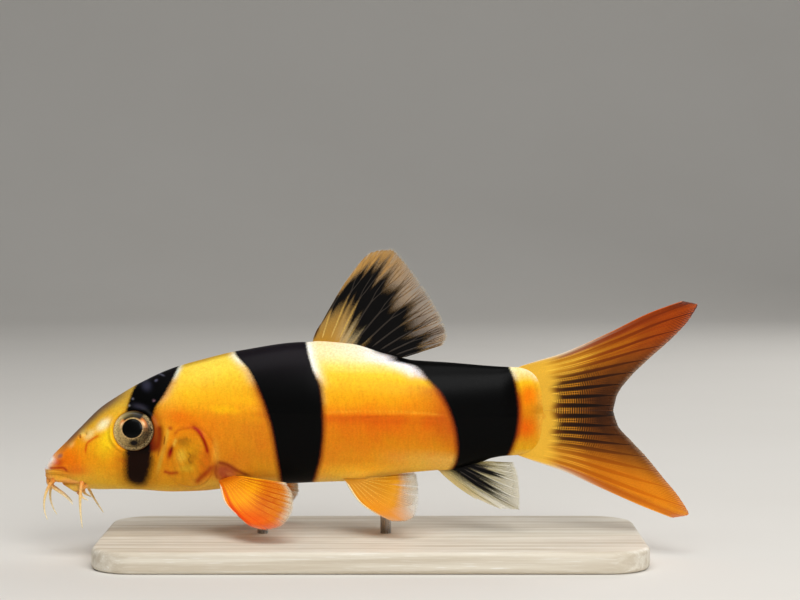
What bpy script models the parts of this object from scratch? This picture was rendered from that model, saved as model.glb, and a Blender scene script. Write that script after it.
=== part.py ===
"""A clown loach, life size, swimming level over a plain display stand.

The fish faces -X and its back is +Z. It is modelled in its own frame, in which x runs back from
the tip of the snout and z up from the axis of the tail, and an empty then sets it over the stand.
The origin is the middle of the underside of the stand's base.
"""

import math

import bmesh
import bpy
import numpy as np
from mathutils import Matrix, Vector

MM = 0.001
TOUCH_GAP = 0.3 * MM
SMOOTH_ANGLE = math.radians(40)
WELD_DISTANCE = 0.001 * MM
SIDES = {"left": -1, "right": 1}

# Driving sizes of the whole animal
TOTAL_LENGTH = 120.0 * MM
AXIS_HEIGHT = 26.8 * MM

# The body's outline: distance back from the snout, back line, belly line, half width and the
# height at which it is widest, in millimetres
OUTLINE = {
    "snout tip": (0.0, -9.9, -11.7, 1.6, -10.7),
    "upper lip": (2.6, -6.75, -12.3, 2.6, -10.4),
    "nostril": (6.3, -2.9, -14.3, 3.7, -9.6),
    "chin": (10.0, 0.65, -14.6, 4.5, -8.6),
    "front of eye": (13.6, 3.05, -14.55, 5.2, -7.4),
    "eye": (17.3, 5.2, -14.65, 5.8, -6.4),
    "cheek": (23.0, 7.8, -15.0, 6.5, -5.2),
    "gill cover": (28.4, 9.4, -14.85, 6.9, -4.0),
    "shoulder": (35.8, 11.15, -14.0, 7.1, -2.4),
    "dorsal origin": (47.7, 12.7, -13.35, 6.9, -1.0),
    "mid dorsal": (56.0, 12.15, -13.0, 6.2, -0.6),
    "rear dorsal": (62.5, 10.3, -12.15, 5.5, -0.5),
    "dorsal end": (66.2, 9.5, -11.6, 5.1, -0.5),
    "anal origin": (74.5, 8.9, -10.75, 4.0, -0.5),
    "tail stem": (85.0, 8.1, -8.4, 2.5, -0.1),
    "tail root": (93.0, 7.9, -8.1, 1.2, -0.1),
}
UPPER_FULLNESS = 2.0
LOWER_FULLNESS = 2.3
NOSE_LENGTH = 1.5 * MM
TAIL_END_START = 86.2 * MM
TAIL_END_LENGTH = 6.2 * MM
TAIL_END_FULLNESS = 2.4
RING_POINTS = 40

# How far apart two points are whose difference gives the slope of the body's surface
SLOPE_STEP = 0.05 * MM
SLOPE_TURN = 0.01

# Where the rings of the body's mesh lie: turns of the round nose and tail end in degrees, and
# runs of even steps between them in millimetres
NOSE_RING_TURNS = (12, 30, 50, 70)
TRUNK_RINGS = ((1.5, 12.0, 0.95), (12.2, 33.0, 1.3), (34.0, 86.0, 2.6))
TAIL_RING_TURNS = (10, 30, 50, 66, 80)

# Where the body is parted
SHOULDER_CUT = 31.2 * MM
STEM_CUT = 71.4 * MM
CUT_SPARE = 4.0 * MM

# Head
EYE_X = 16.2 * MM
EYE_Z = -3.15 * MM
EYE_RADIUS = 3.85 * MM
EYE_HALF_DEPTH = 2.4 * MM
EYE_SINK = 1.25 * MM
ORBIT_RADIUS = 3.75 * MM
ORBIT_THICKNESS = 0.34 * MM
NOSTRIL_X = 6.7 * MM
NOSTRIL_Z = -4.4 * MM
NOSTRIL_RADIUS = 0.45 * MM
NOSTRIL_RIM = 0.26 * MM
NOSTRIL_DEPTH = 1.1 * MM
GILL_X = 26.5 * MM
GILL_Z = -7.9 * MM
GILL_HALF_LENGTH = 4.9 * MM
GILL_HALF_HEIGHT = 5.9 * MM
GILL_LEAN = -14.0
GILL_COVER_THICKNESS = 1.1 * MM
GILL_COVER_LIFT = 0.45 * MM
GILL_FRONT_LIFT_SHARE = 0.15
GILL_SPARE = 8.0 * MM
GILL_CUT_INNER = 1.0 * MM
GILL_CUT_REACH = 10.0 * MM

# Fins
RAY_THICKNESS = 0.95 * MM
MEMBRANE_THICKNESS = 0.5 * MM
FIN_EDGE_SHARE = 0.55
ROOT_THICKNESS = 1.05 * MM
ROOT_SHARE = 0.08
SCALLOP = 0.5 * MM

# Stand
BASE_LENGTH = 100.0 * MM
BASE_WIDTH = 44.0 * MM
BASE_THICKNESS = 4.0 * MM
BASE_CORNER = 8.0 * MM
BASE_CORNER_STEPS = 7
BASE_CHAMFER = 0.8 * MM
ROD_RADIUS = 1.0 * MM
ROD_PLACES = {"front": 39.8 * MM, "rear": 62.6 * MM}


def clear_scene():
    """Remove what the start-up file holds."""
    for leftover in list(bpy.data.objects):
        bpy.data.objects.remove(leftover)


def make_material(name, colour, roughness, metallic=0.0):
    """A Principled BSDF of one colour."""
    material = bpy.data.materials.new(name)
    material.use_nodes = True
    shader = material.node_tree.nodes["Principled BSDF"]
    shader.inputs["Base Color"].default_value = (*colour, 1.0)
    shader.inputs["Roughness"].default_value = roughness
    shader.inputs["Metallic"].default_value = metallic
    return material


def smooth_curve(x, knots, values):
    """A smooth curve through the knots that never overshoots between two of them.

    The slope at a knot is the harmonic mean of the slopes on its two sides, or flat where
    they have opposite signs.
    """
    knots = np.asarray(knots, float)
    values = np.asarray(values, float)
    steps = np.diff(knots)
    chords = np.diff(values) / steps
    before, after = chords[:-1], chords[1:]
    same_way = before * after > 0
    total = np.where(same_way, before + after, 1.0)
    middle = np.where(same_way, 2 * before * after / total, 0.0)
    slopes = np.concatenate([chords[:1], middle, chords[-1:]])
    x = np.clip(np.asarray(x, float), knots[0], knots[-1])
    place = np.clip(np.searchsorted(knots, x, side="right") - 1, 0, len(steps) - 1)
    width = steps[place]
    t = (x - knots[place]) / width
    return (
        values[place] * (1 + 2 * t) * (1 - t) ** 2
        + slopes[place] * width * t * (1 - t) ** 2
        + values[place + 1] * t * t * (3 - 2 * t)
        - slopes[place + 1] * width * t * t * (1 - t)
    )


def body_sizes(x):
    """Back line, belly line, half width and widest height of the body at a distance from the snout.

    The nose is an elliptical cap, and the end of the tail stem a superelliptical one.
    """
    table = np.array(list(OUTLINE.values())) * MM
    back, belly, half, widest = (
        smooth_curve(x, table[:, 0], table[:, column]) for column in range(1, 5)
    )
    nose = np.clip(1 - x / NOSE_LENGTH, 0, 1)
    tail = np.clip((x - TAIL_END_START) / TAIL_END_LENGTH, 0, 1)
    share = np.sqrt(1 - nose**2) * (1 - tail**TAIL_END_FULLNESS) ** (1 / TAIL_END_FULLNESS)
    return widest + (back - widest) * share, widest + (belly - widest) * share, half * share, widest


def skin_point(x, turn, swell=0.0):
    """A point of the body's surface, and swell moves it out by about that much.

    turn goes from 0 at the back line through 90 degrees at the left flank to 180 at the belly.
    Each half of a section is half a superellipse, fuller below than above.
    """
    back, belly, half, widest = body_sizes(x)
    sine, cosine = np.sin(turn), np.cos(turn)
    power = np.where(cosine >= 0, 2 / UPPER_FULLNESS, 2 / LOWER_FULLNESS)
    reach = np.where(cosine >= 0, back - widest, widest - belly) + swell
    y = -(half + swell) * np.sign(sine) * np.abs(sine) ** power
    z = widest + reach * np.sign(cosine) * np.abs(cosine) ** power
    return np.stack(np.broadcast_arrays(x, y, z), axis=-1)


def turn_at_height(x, z):
    """The turn on the left flank at which the body's surface has this height."""
    back, belly, _, widest = (float(size) for size in body_sizes(np.array(x)))
    if z >= widest:
        return math.acos(((z - widest) / (back - widest)) ** (UPPER_FULLNESS / 2))
    return math.pi - math.acos(((widest - z) / (widest - belly)) ** (LOWER_FULLNESS / 2))


def skin_place(x, z, side):
    """The point of the flank at this length and height, and the way out of the body there."""
    turn = turn_at_height(x, z)
    along = skin_point(x + SLOPE_STEP, turn) - skin_point(x - SLOPE_STEP, turn)
    around = skin_point(x, turn + SLOPE_TURN) - skin_point(x, turn - SLOPE_TURN)
    outward = np.cross(along, around)
    if outward[1] > 0:
        outward = -outward
    mirror = np.array([1, -side, 1])
    return skin_point(x, turn) * mirror, outward / np.linalg.norm(outward) * mirror


def mesh_object(name, points, faces, material, collection):
    """A mesh object from arrays, facing out."""
    mesh = bpy.data.meshes.new(name)
    mesh.from_pydata([tuple(p) for p in points], [], [tuple(f) for f in faces])
    made = bmesh.new()
    made.from_mesh(mesh)
    bmesh.ops.recalc_face_normals(made, faces=made.faces)
    made.to_mesh(mesh)
    made.free()
    mesh.materials.append(material)
    mesh.shade_smooth()
    mesh.set_sharp_from_angle(angle=SMOOTH_ANGLE)
    obj = bpy.data.objects.new(name, mesh)
    collection.objects.link(obj)
    return obj


def body_rings(first, last):
    """Distances from the snout at which the body has a ring, closer together where it curves."""
    nose = NOSE_LENGTH * (1 - np.cos(np.radians(NOSE_RING_TURNS)))
    trunk = np.concatenate([np.arange(*run) for run in TRUNK_RINGS]) * MM
    tail = TAIL_END_START + TAIL_END_LENGTH * np.sin(np.radians(TAIL_RING_TURNS))
    every = np.concatenate([nose, trunk, tail])
    return every[(every >= first) & (every <= last)]


def body_loft(name, material, collection, swell=None, first=0.0, last=TOTAL_LENGTH):
    """The body between two distances from the snout, as one closed loft of rings.

    swell is a function of the distance that says how far the surface moves out.
    """
    rings = body_rings(first, last)
    turns = np.linspace(0, 2 * math.pi, RING_POINTS, endpoint=False)
    offset = np.zeros_like(rings) if swell is None else swell(rings)
    grid = skin_point(rings[:, None], turns[None, :], offset[:, None])
    points = grid.reshape(-1, 3).tolist()
    faces = []
    for ring in range(len(rings) - 1):
        for place in range(RING_POINTS):
            beside = (place + 1) % RING_POINTS
            row, after = ring * RING_POINTS, (ring + 1) * RING_POINTS
            faces.append((row + place, row + beside, after + beside, after + place))
    for ring in (0, len(rings) - 1):
        points.append(grid[ring].mean(axis=0))
        centre = len(points) - 1
        for place in range(RING_POINTS):
            row = ring * RING_POINTS
            faces.append((row + place, row + (place + 1) % RING_POINTS, centre))
    return mesh_object(name, points, faces, material, collection)


def slice_across(obj, x, keep_rear):
    """Cut the object square across at x and keep one side, closed with a flat face."""
    made = bmesh.new()
    made.from_mesh(obj.data)
    found = bmesh.ops.bisect_plane(
        made,
        geom=made.verts[:] + made.edges[:] + made.faces[:],
        plane_co=(x, 0, 0),
        plane_no=(1, 0, 0),
        clear_inner=keep_rear,
        clear_outer=not keep_rear,
    )
    edges = [e for e in found["geom_cut"] if isinstance(e, bmesh.types.BMEdge)]
    bmesh.ops.edgeloop_fill(made, edges=edges)
    bmesh.ops.recalc_face_normals(made, faces=made.faces)
    made.to_mesh(obj.data)
    made.free()


def settle(obj):
    """Replace the object's mesh by what its modifiers make of it, and drop them."""
    bpy.context.view_layer.update()
    graph = bpy.context.evaluated_depsgraph_get()
    mesh = bpy.data.meshes.new_from_object(obj.evaluated_get(graph))
    obj.modifiers.clear()
    obj.data = mesh


def keep_largest(obj):
    """Keep only the closed surface that spans most, so that the node is one body."""
    made = bmesh.new()
    made.from_mesh(obj.data)
    unseen = set(made.verts)
    islands = []
    while unseen:
        start = unseen.pop()
        island, edge = {start}, [start]
        while edge:
            for link in edge.pop().link_edges:
                for vert in link.verts:
                    if vert in unseen:
                        unseen.remove(vert)
                        island.add(vert)
                        edge.append(vert)
        islands.append(island)
    largest = max(islands, key=len)
    bmesh.ops.delete(made, geom=[v for v in made.verts if v not in largest], context="VERTS")
    made.to_mesh(obj.data)
    made.free()


def combine(obj, pieces, operation):
    """Join the pieces to the object, or cut them from it, in one Boolean on a collection."""
    tools = bpy.data.collections.new(obj.name + "_" + operation.lower())
    bpy.context.scene.collection.children.link(tools)
    for piece in pieces:
        for holder in list(piece.users_collection):
            holder.objects.unlink(piece)
        tools.objects.link(piece)
    boolean = obj.modifiers.new(operation.title(), "BOOLEAN")
    boolean.operation = operation
    boolean.operand_type = "COLLECTION"
    boolean.collection = tools
    settle(obj)
    for piece in pieces:
        bpy.data.objects.remove(piece)
    bpy.data.collections.remove(tools)
    keep_largest(obj)


def plain_solid(name, make, placing, material, collection):
    """A primitive made by a bmesh operator and put in place by a matrix."""
    mesh = bpy.data.meshes.new(name)
    made = bmesh.new()
    make(made)
    made.transform(placing)
    bmesh.ops.recalc_face_normals(made, faces=made.faces)
    made.to_mesh(mesh)
    made.free()
    mesh.materials.append(material)
    mesh.shade_smooth()
    mesh.set_sharp_from_angle(angle=SMOOTH_ANGLE)
    obj = bpy.data.objects.new(name, mesh)
    collection.objects.link(obj)
    return obj


def facing(point, outward, sizes=(1, 1, 1)):
    """A matrix that puts a shape's own Z along outward at the point, after scaling it."""
    turn = Vector(outward).to_track_quat("Z", "X").to_matrix().to_4x4()
    return Matrix.Translation(Vector(point)) @ turn @ Matrix.Diagonal((*sizes, 1))


def tube(name, path, radii, material, collection, sides=1):
    """A tapered tube along a list of points, as a closed mesh with its caps welded."""
    curve = bpy.data.curves.new(name, "CURVE")
    curve.dimensions = "3D"
    curve.bevel_depth = 1.0
    curve.bevel_resolution = sides
    curve.use_fill_caps = True
    spline = curve.splines.new("POLY")
    spline.points.add(len(path) - 1)
    for point, place, radius in zip(spline.points, path, radii):
        point.co = (*place, 1.0)
        point.radius = radius
    line = bpy.data.objects.new(name + "_line", curve)
    bpy.context.scene.collection.objects.link(line)
    bpy.context.view_layer.update()
    graph = bpy.context.evaluated_depsgraph_get()
    mesh = bpy.data.meshes.new_from_object(line.evaluated_get(graph))
    bpy.data.objects.remove(line)
    made = bmesh.new()
    made.from_mesh(mesh)
    bmesh.ops.remove_doubles(made, verts=made.verts, dist=WELD_DISTANCE)
    bmesh.ops.recalc_face_normals(made, faces=made.faces)
    made.to_mesh(mesh)
    made.free()
    mesh.materials.clear()
    mesh.materials.append(material)
    mesh.shade_smooth()
    obj = bpy.data.objects.new(name, mesh)
    collection.objects.link(obj)
    return obj


def bezier(points, count):
    """Points along a cubic Bezier curve with these four control points."""
    t = np.linspace(0, 1, count)[:, None]
    a, b, c, d = (np.asarray(p, float) for p in points)
    return (1 - t) ** 3 * a + 3 * t * (1 - t) ** 2 * b + 3 * t * t * (1 - t) * c + t**3 * d


def ring_solid(name, point, outward, radius, thickness, material, collection, steps=20):
    """A thin round rim lying on a surface: a tube bent into a closed ring."""
    mesh_rows, sides = [], 6
    for step in range(steps):
        around = 2 * math.pi * step / steps
        for corner in range(sides):
            turn = 2 * math.pi * corner / sides
            reach = radius + thickness * math.cos(turn)
            height = thickness * math.sin(turn)
            mesh_rows.append((reach * math.cos(around), reach * math.sin(around), height))
    faces = []
    for step in range(steps):
        for corner in range(sides):
            row, after = step * sides, (step + 1) % steps * sides
            beside = (corner + 1) % sides
            faces.append((row + corner, after + corner, after + beside, row + beside))
    placing = facing(point, outward)
    return mesh_object(
        name, [placing @ Vector(p) for p in mesh_rows], faces, material, collection
    )


# The head


def eye_ellipsoid(name, side, grow, material, collection, segments=24, rings=12):
    """The eyeball, or with grow the socket that holds it."""
    point, outward = skin_place(EYE_X, EYE_Z, side)
    sizes = (EYE_RADIUS + grow, EYE_RADIUS + grow, EYE_HALF_DEPTH + grow)
    return plain_solid(
        name,
        lambda made: bmesh.ops.create_uvsphere(
            made, u_segments=segments, v_segments=rings, radius=1
        ),
        facing(point - EYE_SINK * outward, outward, sizes),
        material,
        collection,
    )


def gill_prism(name, side, grow, material, collection):
    """A leaning oval block through one flank, the outline of the gill cover in side view."""
    oval = Matrix.Diagonal((GILL_HALF_LENGTH + grow, GILL_HALF_HEIGHT + grow, GILL_CUT_REACH, 1))
    lean = Matrix.Rotation(math.radians(GILL_LEAN), 4, "Y")
    turn = lean @ Matrix.Rotation(math.radians(90), 4, "X")
    middle = side * (GILL_CUT_REACH / 2 + GILL_CUT_INNER)
    place = Matrix.Translation((GILL_X, middle, GILL_Z))
    return plain_solid(
        name,
        lambda made: bmesh.ops.create_cone(
            made, cap_ends=True, segments=32, radius1=1, radius2=1, depth=1
        ),
        place @ turn @ oval,
        material,
        collection,
    )


def cover_lift(x):
    """How far the gill cover stands off the head: nothing at the cheek, most at its free edge."""
    rise = np.clip((x - GILL_X + GILL_HALF_LENGTH) / (2 * GILL_HALF_LENGTH), 0, 1)
    return GILL_COVER_LIFT * (GILL_FRONT_LIFT_SHARE + (1 - GILL_FRONT_LIFT_SHARE) * rise)


def gill_core(depth, material, collection):
    """The stretch of the body near the gills, this far under its surface."""
    return body_loft(
        "gill_core",
        material,
        collection,
        lambda x: np.full_like(x, -depth),
        first=GILL_X - GILL_SPARE,
        last=GILL_X + GILL_SPARE,
    )


def make_gill_cover(side_name, material, collection):
    """The bony flap over one gill, a curved plate that stands off the head at its rear edge."""
    side = SIDES[side_name]
    near = {"first": GILL_X - GILL_SPARE, "last": GILL_X + GILL_SPARE}
    plate = body_loft("gill_cover_" + side_name, material, collection, cover_lift, **near)
    inner = gill_core(GILL_COVER_THICKNESS, material, collection)
    outline = gill_prism("cover_outline", side, 0, material, collection)
    combine(plate, [outline], "INTERSECT")
    combine(plate, [inner], "DIFFERENCE")
    slice_across(plate, SHOULDER_CUT - TOUCH_GAP / 2, keep_rear=False)


def gill_recess(side, material, collection):
    """The hollow in the head's side that the gill cover lies in, clear of it all round."""
    recess = gill_prism("recess", side, TOUCH_GAP, material, collection)
    core = gill_core(GILL_COVER_THICKNESS + TOUCH_GAP, material, collection)
    combine(recess, [core], "DIFFERENCE")
    return recess


# The lips: the front and the corner of each one's curve, how low it hangs between them, and its
# thickness at the front and at the corners, in millimetres
LIPS = {
    "upper": {"front": (1.0, -11.9), "low": -12.8, "corner": (7.4, 2.5, -12.9), "radii": (0.65, 0.3)},
    "lower": {"front": (3.7, -13.4), "low": -14.7, "corner": (7.6, 2.2, -13.6), "radii": (0.9, 0.4)},
    "line": {"front": (2.2, -13.2), "low": -13.8, "corner": (7.2, 2.7, -13.4), "radii": (0.25, 0.2)},
}
LIP_LOW_SHARE = 0.68
LIP_STEPS = 15


def lip_centre(name, share):
    """The middle of a lip's roll. share runs from -1 at one corner through the front to 1."""
    lip = LIPS[name]
    turn = np.asarray(share, float) * math.pi / 2
    corner_x, corner_y, corner_z = lip["corner"]
    x = corner_x + (lip["front"][0] - corner_x) * np.cos(turn)
    heights = (lip["front"][1], lip["low"], corner_z)
    z = smooth_curve(np.abs(share), (0, LIP_LOW_SHARE, 1), heights)
    return np.stack([x, corner_y * np.sin(turn), z], axis=-1) * MM


def lip_radius(name, share):
    """The thickness of a lip's roll, from its front to its corners."""
    front, corner = LIPS[name]["radii"]
    return (corner + (front - corner) * np.cos(np.asarray(share, float) * math.pi / 2)) * MM


def lip_tube(name, material, collection):
    """One lip, or the line between them, as a roll bent round under the snout."""
    shares = np.linspace(-1, 1, LIP_STEPS)
    path, radii = lip_centre(name, shares), lip_radius(name, shares)
    return tube(name + "_lip", path, radii, material, collection, 2)


def make_head(materials, collection):
    """The head with its lips, mouth line, nostrils, rims of the eyes and the gill hollows."""
    skin = materials["skin"]
    head = body_loft("head", skin, collection, last=SHOULDER_CUT + CUT_SPARE)
    raised = [lip_tube("upper", skin, collection), lip_tube("lower", skin, collection)]
    hollows = [lip_tube("line", skin, collection)]
    for side in SIDES.values():
        eye_point, eye_out = skin_place(EYE_X, EYE_Z, side)
        raised.append(
            ring_solid(
                "orbit", eye_point, eye_out, ORBIT_RADIUS, ORBIT_THICKNESS, skin, collection, 28
            )
        )
        nose_point, nose_out = skin_place(NOSTRIL_X, NOSTRIL_Z, side)
        raised.append(
            ring_solid(
                "nostril_rim",
                nose_point,
                nose_out,
                NOSTRIL_RADIUS + NOSTRIL_RIM / 2,
                NOSTRIL_RIM,
                skin,
                collection,
                12,
            )
        )
        hollows.append(eye_ellipsoid("socket", side, TOUCH_GAP, skin, collection))
        hollows.append(
            plain_solid(
                "nostril",
                lambda made: bmesh.ops.create_cone(
                    made, cap_ends=True, segments=10, radius1=0.6, radius2=1, depth=2
                ),
                facing(nose_point, nose_out, (NOSTRIL_RADIUS, NOSTRIL_RADIUS, NOSTRIL_DEPTH)),
                skin,
                collection,
            )
        )
        hollows.append(gill_recess(side, skin, collection))
    combine(head, raised, "UNION")
    combine(head, hollows, "DIFFERENCE")
    slice_across(head, SHOULDER_CUT - TOUCH_GAP / 2, keep_rear=False)


def make_eyes(material, collection):
    """The two eyeballs, flattened globes that stand a little proud of their sockets."""
    for side_name, side in SIDES.items():
        eye_ellipsoid("eye_" + side_name, side, 0, material, collection)


# Barbels. Each one leaves a lip at a share of the way to its corner, in a first direction, and
# bends by a handle and a late control point to its tip. The points are for the left side, as x,
# distance out and z in millimetres, and the right one of a pair hangs back by the shift.
BARBELS = {
    "rostral_outer": {
        "lip": ("upper", 0.36),
        "way": (-0.55, 0.35, -0.75),
        "handle": 2.4,
        "bend": (-0.9, 2.4, -17.6),
        "tip": (0.2, 2.2, -20.0),
        "shift": (1.1, 0.3),
        "root": 0.72,
    },
    "rostral_inner": {
        "lip": ("upper", 0.12),
        "way": (-0.25, 0.1, -0.95),
        "handle": 1.2,
        "bend": (3.0, 0.7, -14.9),
        "tip": (4.7, 0.9, -17.4),
        "shift": (-0.3, 0.2),
        "root": 0.72,
    },
    "maxillary": {
        "lip": ("upper", 0.93),
        "way": (-0.1, 0.7, -0.7),
        "handle": 1.6,
        "bend": (6.3, 4.2, -17.6),
        "tip": (6.9, 4.0, -21.3),
        "shift": (2.8, 1.7),
        "root": 0.8,
    },
    "mandibular": {
        "lip": ("lower", 0.72),
        "way": (0.45, 0.1, -0.88),
        "handle": 0.5,
        "bend": (6.9, 2.2, -16.0),
        "tip": (7.7, 2.2, -16.4),
        "shift": (0.1, 0.0),
        "root": 0.7,
    },
}
BARBEL_STEPS = 9
BARBEL_TIP_SHARE = 0.3


def make_barbels(material, collection):
    """Four pairs of tapered feelers that leave the lips square to their surface."""
    for name, sizes in BARBELS.items():
        lip, share = sizes["lip"]
        way = np.array(sizes["way"]) / np.linalg.norm(sizes["way"])
        root = np.abs(lip_centre(lip, share)) * (1, 1, -1)
        root = root + way * (lip_radius(lip, share) + TOUCH_GAP)
        for side_name, side in SIDES.items():
            shift = np.zeros(3)
            if side_name == "right":
                shift = np.array([sizes["shift"][0], 0, sizes["shift"][1]]) * MM
            bend = np.array(sizes["bend"]) * MM + shift / 2
            tip = np.array(sizes["tip"]) * MM + shift
            controls = (root, root + way * sizes["handle"] * MM, bend, tip)
            path = bezier(controls, BARBEL_STEPS) * (1, side, 1)
            radii = sizes["root"] / 2 * MM * np.linspace(1, BARBEL_TIP_SHARE, BARBEL_STEPS)
            tube(f"barbel_{name}_{side_name}", path, radii, material, collection)


# The fins


def grid_shell(name, middle, thickness, material, collection):
    """A thin closed shell about a grid of points, split into triangles alike on both faces."""
    across = np.gradient(middle, axis=0)
    along = np.gradient(middle, axis=1)
    normal = np.cross(across, along)
    normal /= np.linalg.norm(normal, axis=2, keepdims=True)
    columns, rows = middle.shape[:2]
    offset = normal * thickness[..., None] / 2
    points = np.concatenate([(middle + offset).reshape(-1, 3), (middle - offset).reshape(-1, 3)])
    count = columns * rows
    faces = []
    for column in range(columns - 1):
        for row in range(rows - 1):
            a = column * rows + row
            b, c, d = a + rows, a + rows + 1, a + 1
            faces += [(a, b, c), (a, c, d)]
            faces += [(count + c, count + b, count + a), (count + d, count + c, count + a)]
    rim = [c * rows for c in range(columns)]
    rim += [(columns - 1) * rows + r for r in range(1, rows)]
    rim += [c * rows + rows - 1 for c in range(columns - 2, -1, -1)]
    rim += [r for r in range(rows - 2, 0, -1)]
    for here, there in zip(rim, rim[1:] + rim[:1]):
        faces += [(here, count + here, count + there), (here, count + there, there)]
    return mesh_object(name, points, faces, material, collection)


def outline_at(u, knots):
    """A point of a fin's margin. Each knot is a share of the way along it, x and z in mm."""
    table = np.array(knots, float)
    return np.stack(
        [smooth_curve(u, table[:, 0], table[:, column]) * MM for column in (1, 2)], axis=-1
    )


def fan_columns(rays):
    """Shares along the fin at which its grid has a column, and which of them are on a ray."""
    shares = np.linspace(0, 1, 2 * rays - 1)
    on_ray = np.arange(len(shares)) % 2 == 0
    return shares, on_ray


def fin_thickness(on_ray, v):
    """Thickness of a fin: raised along its rays, thin between them and towards the margin.

    At the root rays and membrane alike swell to one thickness.
    """
    full = np.where(on_ray[:, None], RAY_THICKNESS, MEMBRANE_THICKNESS)
    taper = 1 - (1 - FIN_EDGE_SHARE) * v[None, :] ** 3
    near_root = np.exp(-v[None, :] / ROOT_SHARE)
    return full * taper + (ROOT_THICKNESS - full) * near_root


def fan_grid(base, tips, on_ray, rows, bend):
    """A fan of rays from base points to tips, and the shares along a ray of its rows.

    bend is how far the leading ray stands off its chord, forward or outward, as knots of share
    and millimetres. The other rays follow it less and less towards the trailing one.
    """
    v = np.linspace(0, 1, rows)
    chord = tips - base
    length = np.linalg.norm(chord, axis=1, keepdims=True)
    chord = chord * (1 - np.where(on_ray[:, None], 0, SCALLOP) / length)
    forward = np.stack([-chord[:, 1], chord[:, 0]], axis=1) / length
    table = np.array(bend, float)
    rise = smooth_curve(v, table[:, 0], table[:, 1]) * MM
    follow = np.linspace(1, 0, len(base))[:, None] * np.minimum(length / length.max(), 1)
    grid = base[:, None, :] + chord[:, None, :] * v[None, :, None]
    return grid + (forward * follow)[:, None, :] * rise[None, :, None], v


def in_side_plane(flat):
    """Side-view points x, z as points of the middle plane."""
    return np.stack([flat[..., 0], np.zeros(flat.shape[:-1]), flat[..., 1]], axis=-1)


DORSAL = {
    "base": (49.2 * MM, 65.6 * MM),
    "rays": 12,
    "rows": 8,
    "bend": ((0, 0), (0.5, 1.0), (1, 0)),
    "margin": (
        (0.0, 51.4, 17.0),
        (0.08, 55.4, 24.2),
        (0.16, 60.2, 29.6),
        (0.24, 63.4, 30.1),
        (0.34, 65.6, 28.4),
        (0.48, 68.9, 24.0),
        (0.62, 71.4, 20.2),
        (0.76, 73.1, 16.8),
        (0.9, 74.0, 13.8),
        (1.0, 73.2, 12.2),
    ),
}
ANAL = {
    "base": (72.6 * MM, 80.6 * MM),
    "rays": 9,
    "rows": 7,
    "bend": ((0, 0), (0.5, -0.4), (1, 0)),
    "margin": (
        (0.0, 79.4, -16.5),
        (0.14, 84.4, -18.4),
        (0.28, 87.4, -18.5),
        (0.45, 87.5, -16.4),
        (0.62, 87.4, -14.2),
        (0.8, 87.1, -12.0),
        (1.0, 86.3, -9.7),
    ),
}


def ridge_fin(name, sizes, on_back, material, collection):
    """A fin in the middle plane that stands on the back line or hangs from the belly line."""
    shares, on_ray = fan_columns(sizes["rays"])
    x = sizes["base"][0] + (sizes["base"][1] - sizes["base"][0]) * shares
    back, belly, _, _ = body_sizes(x)
    z = back + TOUCH_GAP if on_back else belly - TOUCH_GAP
    base = np.stack([x, z], axis=1)
    tips = outline_at(shares, sizes["margin"])
    flat, v = fan_grid(base, tips, on_ray, sizes["rows"], sizes["bend"])
    grid_shell(name, in_side_plane(flat), fin_thickness(on_ray, v), material, collection)


# Each lobe of the tail fin: its margin from the tip of the leading ray round to the fork, and
# the S bend of that ray, outward from its chord
UPPER_LOBE = {
    "side": 1,
    "bend": ((0, 0), (0.28, -0.8), (0.54, -0.45), (0.81, 0.2), (1, 0)),
    "margin": (
        (0.0, 117.4, 20.4),
        (0.111, 120.0, 19.6),
        (0.222, 118.3, 16.7),
        (0.333, 115.6, 13.7),
        (0.5, 111.1, 9.6),
        (0.667, 107.6, 6.1),
        (0.833, 105.4, 2.9),
        (1.0, 104.7, 0.0),
    ),
}
LOWER_LOBE = {
    "side": -1,
    "bend": ((0, 0), (0.28, 0.5), (0.54, 0.15), (0.81, -0.1), (1, 0)),
    "margin": (
        (0.0, 115.8, -19.8),
        (0.111, 118.7, -19.1),
        (0.222, 116.9, -16.0),
        (0.333, 114.3, -12.8),
        (0.5, 110.8, -8.5),
        (0.667, 107.9, -5.4),
        (0.833, 105.6, -2.8),
        (1.0, 104.7, 0.0),
    ),
}
LOBE_RAYS = 10
LOBE_ROWS = 10
LOBE_SWAY = -1.5 * MM
FORK_SWAY_SHARE = 0.4
MIDDLE_RAY_TURN = 2.0
LEADING_RAY_TURN = 80.0


def tail_root_point(turn, gap):
    """A point round the end of the tail stem in side view, this far outside its outline."""
    back, belly, _, widest = (float(s) for s in body_sizes(np.array(TAIL_END_START)))
    power = 2 / TAIL_END_FULLNESS
    height = np.where(turn >= 0, back - widest, widest - belly) + gap
    x = TAIL_END_START + (TAIL_END_LENGTH + gap) * np.abs(np.cos(turn)) ** power
    z = widest + height * np.sign(turn) * np.abs(np.sin(turn)) ** power
    return np.stack([x, z], axis=-1)


def make_tail_lobe(name, sizes, material, collection):
    """One lobe of the forked tail fin, from the ray along its leading edge to the middle ray."""
    side = sizes["side"]
    shares, on_ray = fan_columns(LOBE_RAYS)
    turns = LEADING_RAY_TURN + (MIDDLE_RAY_TURN - LEADING_RAY_TURN) * shares
    base = tail_root_point(np.radians(turns) * side, TOUCH_GAP)
    tips = outline_at(shares, sizes["margin"])
    base[-1, 1] = side * TOUCH_GAP / 2
    tips[-1, 1] = side * TOUCH_GAP / 2
    flat, v = fan_grid(base, tips, on_ray, LOBE_ROWS, sizes["bend"])
    middle = in_side_plane(flat)
    share_of_sway = 1 - (1 - FORK_SWAY_SHARE) * shares[:, None]
    middle[..., 1] = LOBE_SWAY * share_of_sway * v[None, :] ** 2
    grid_shell(name, middle, fin_thickness(on_ray, v), material, collection)


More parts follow.
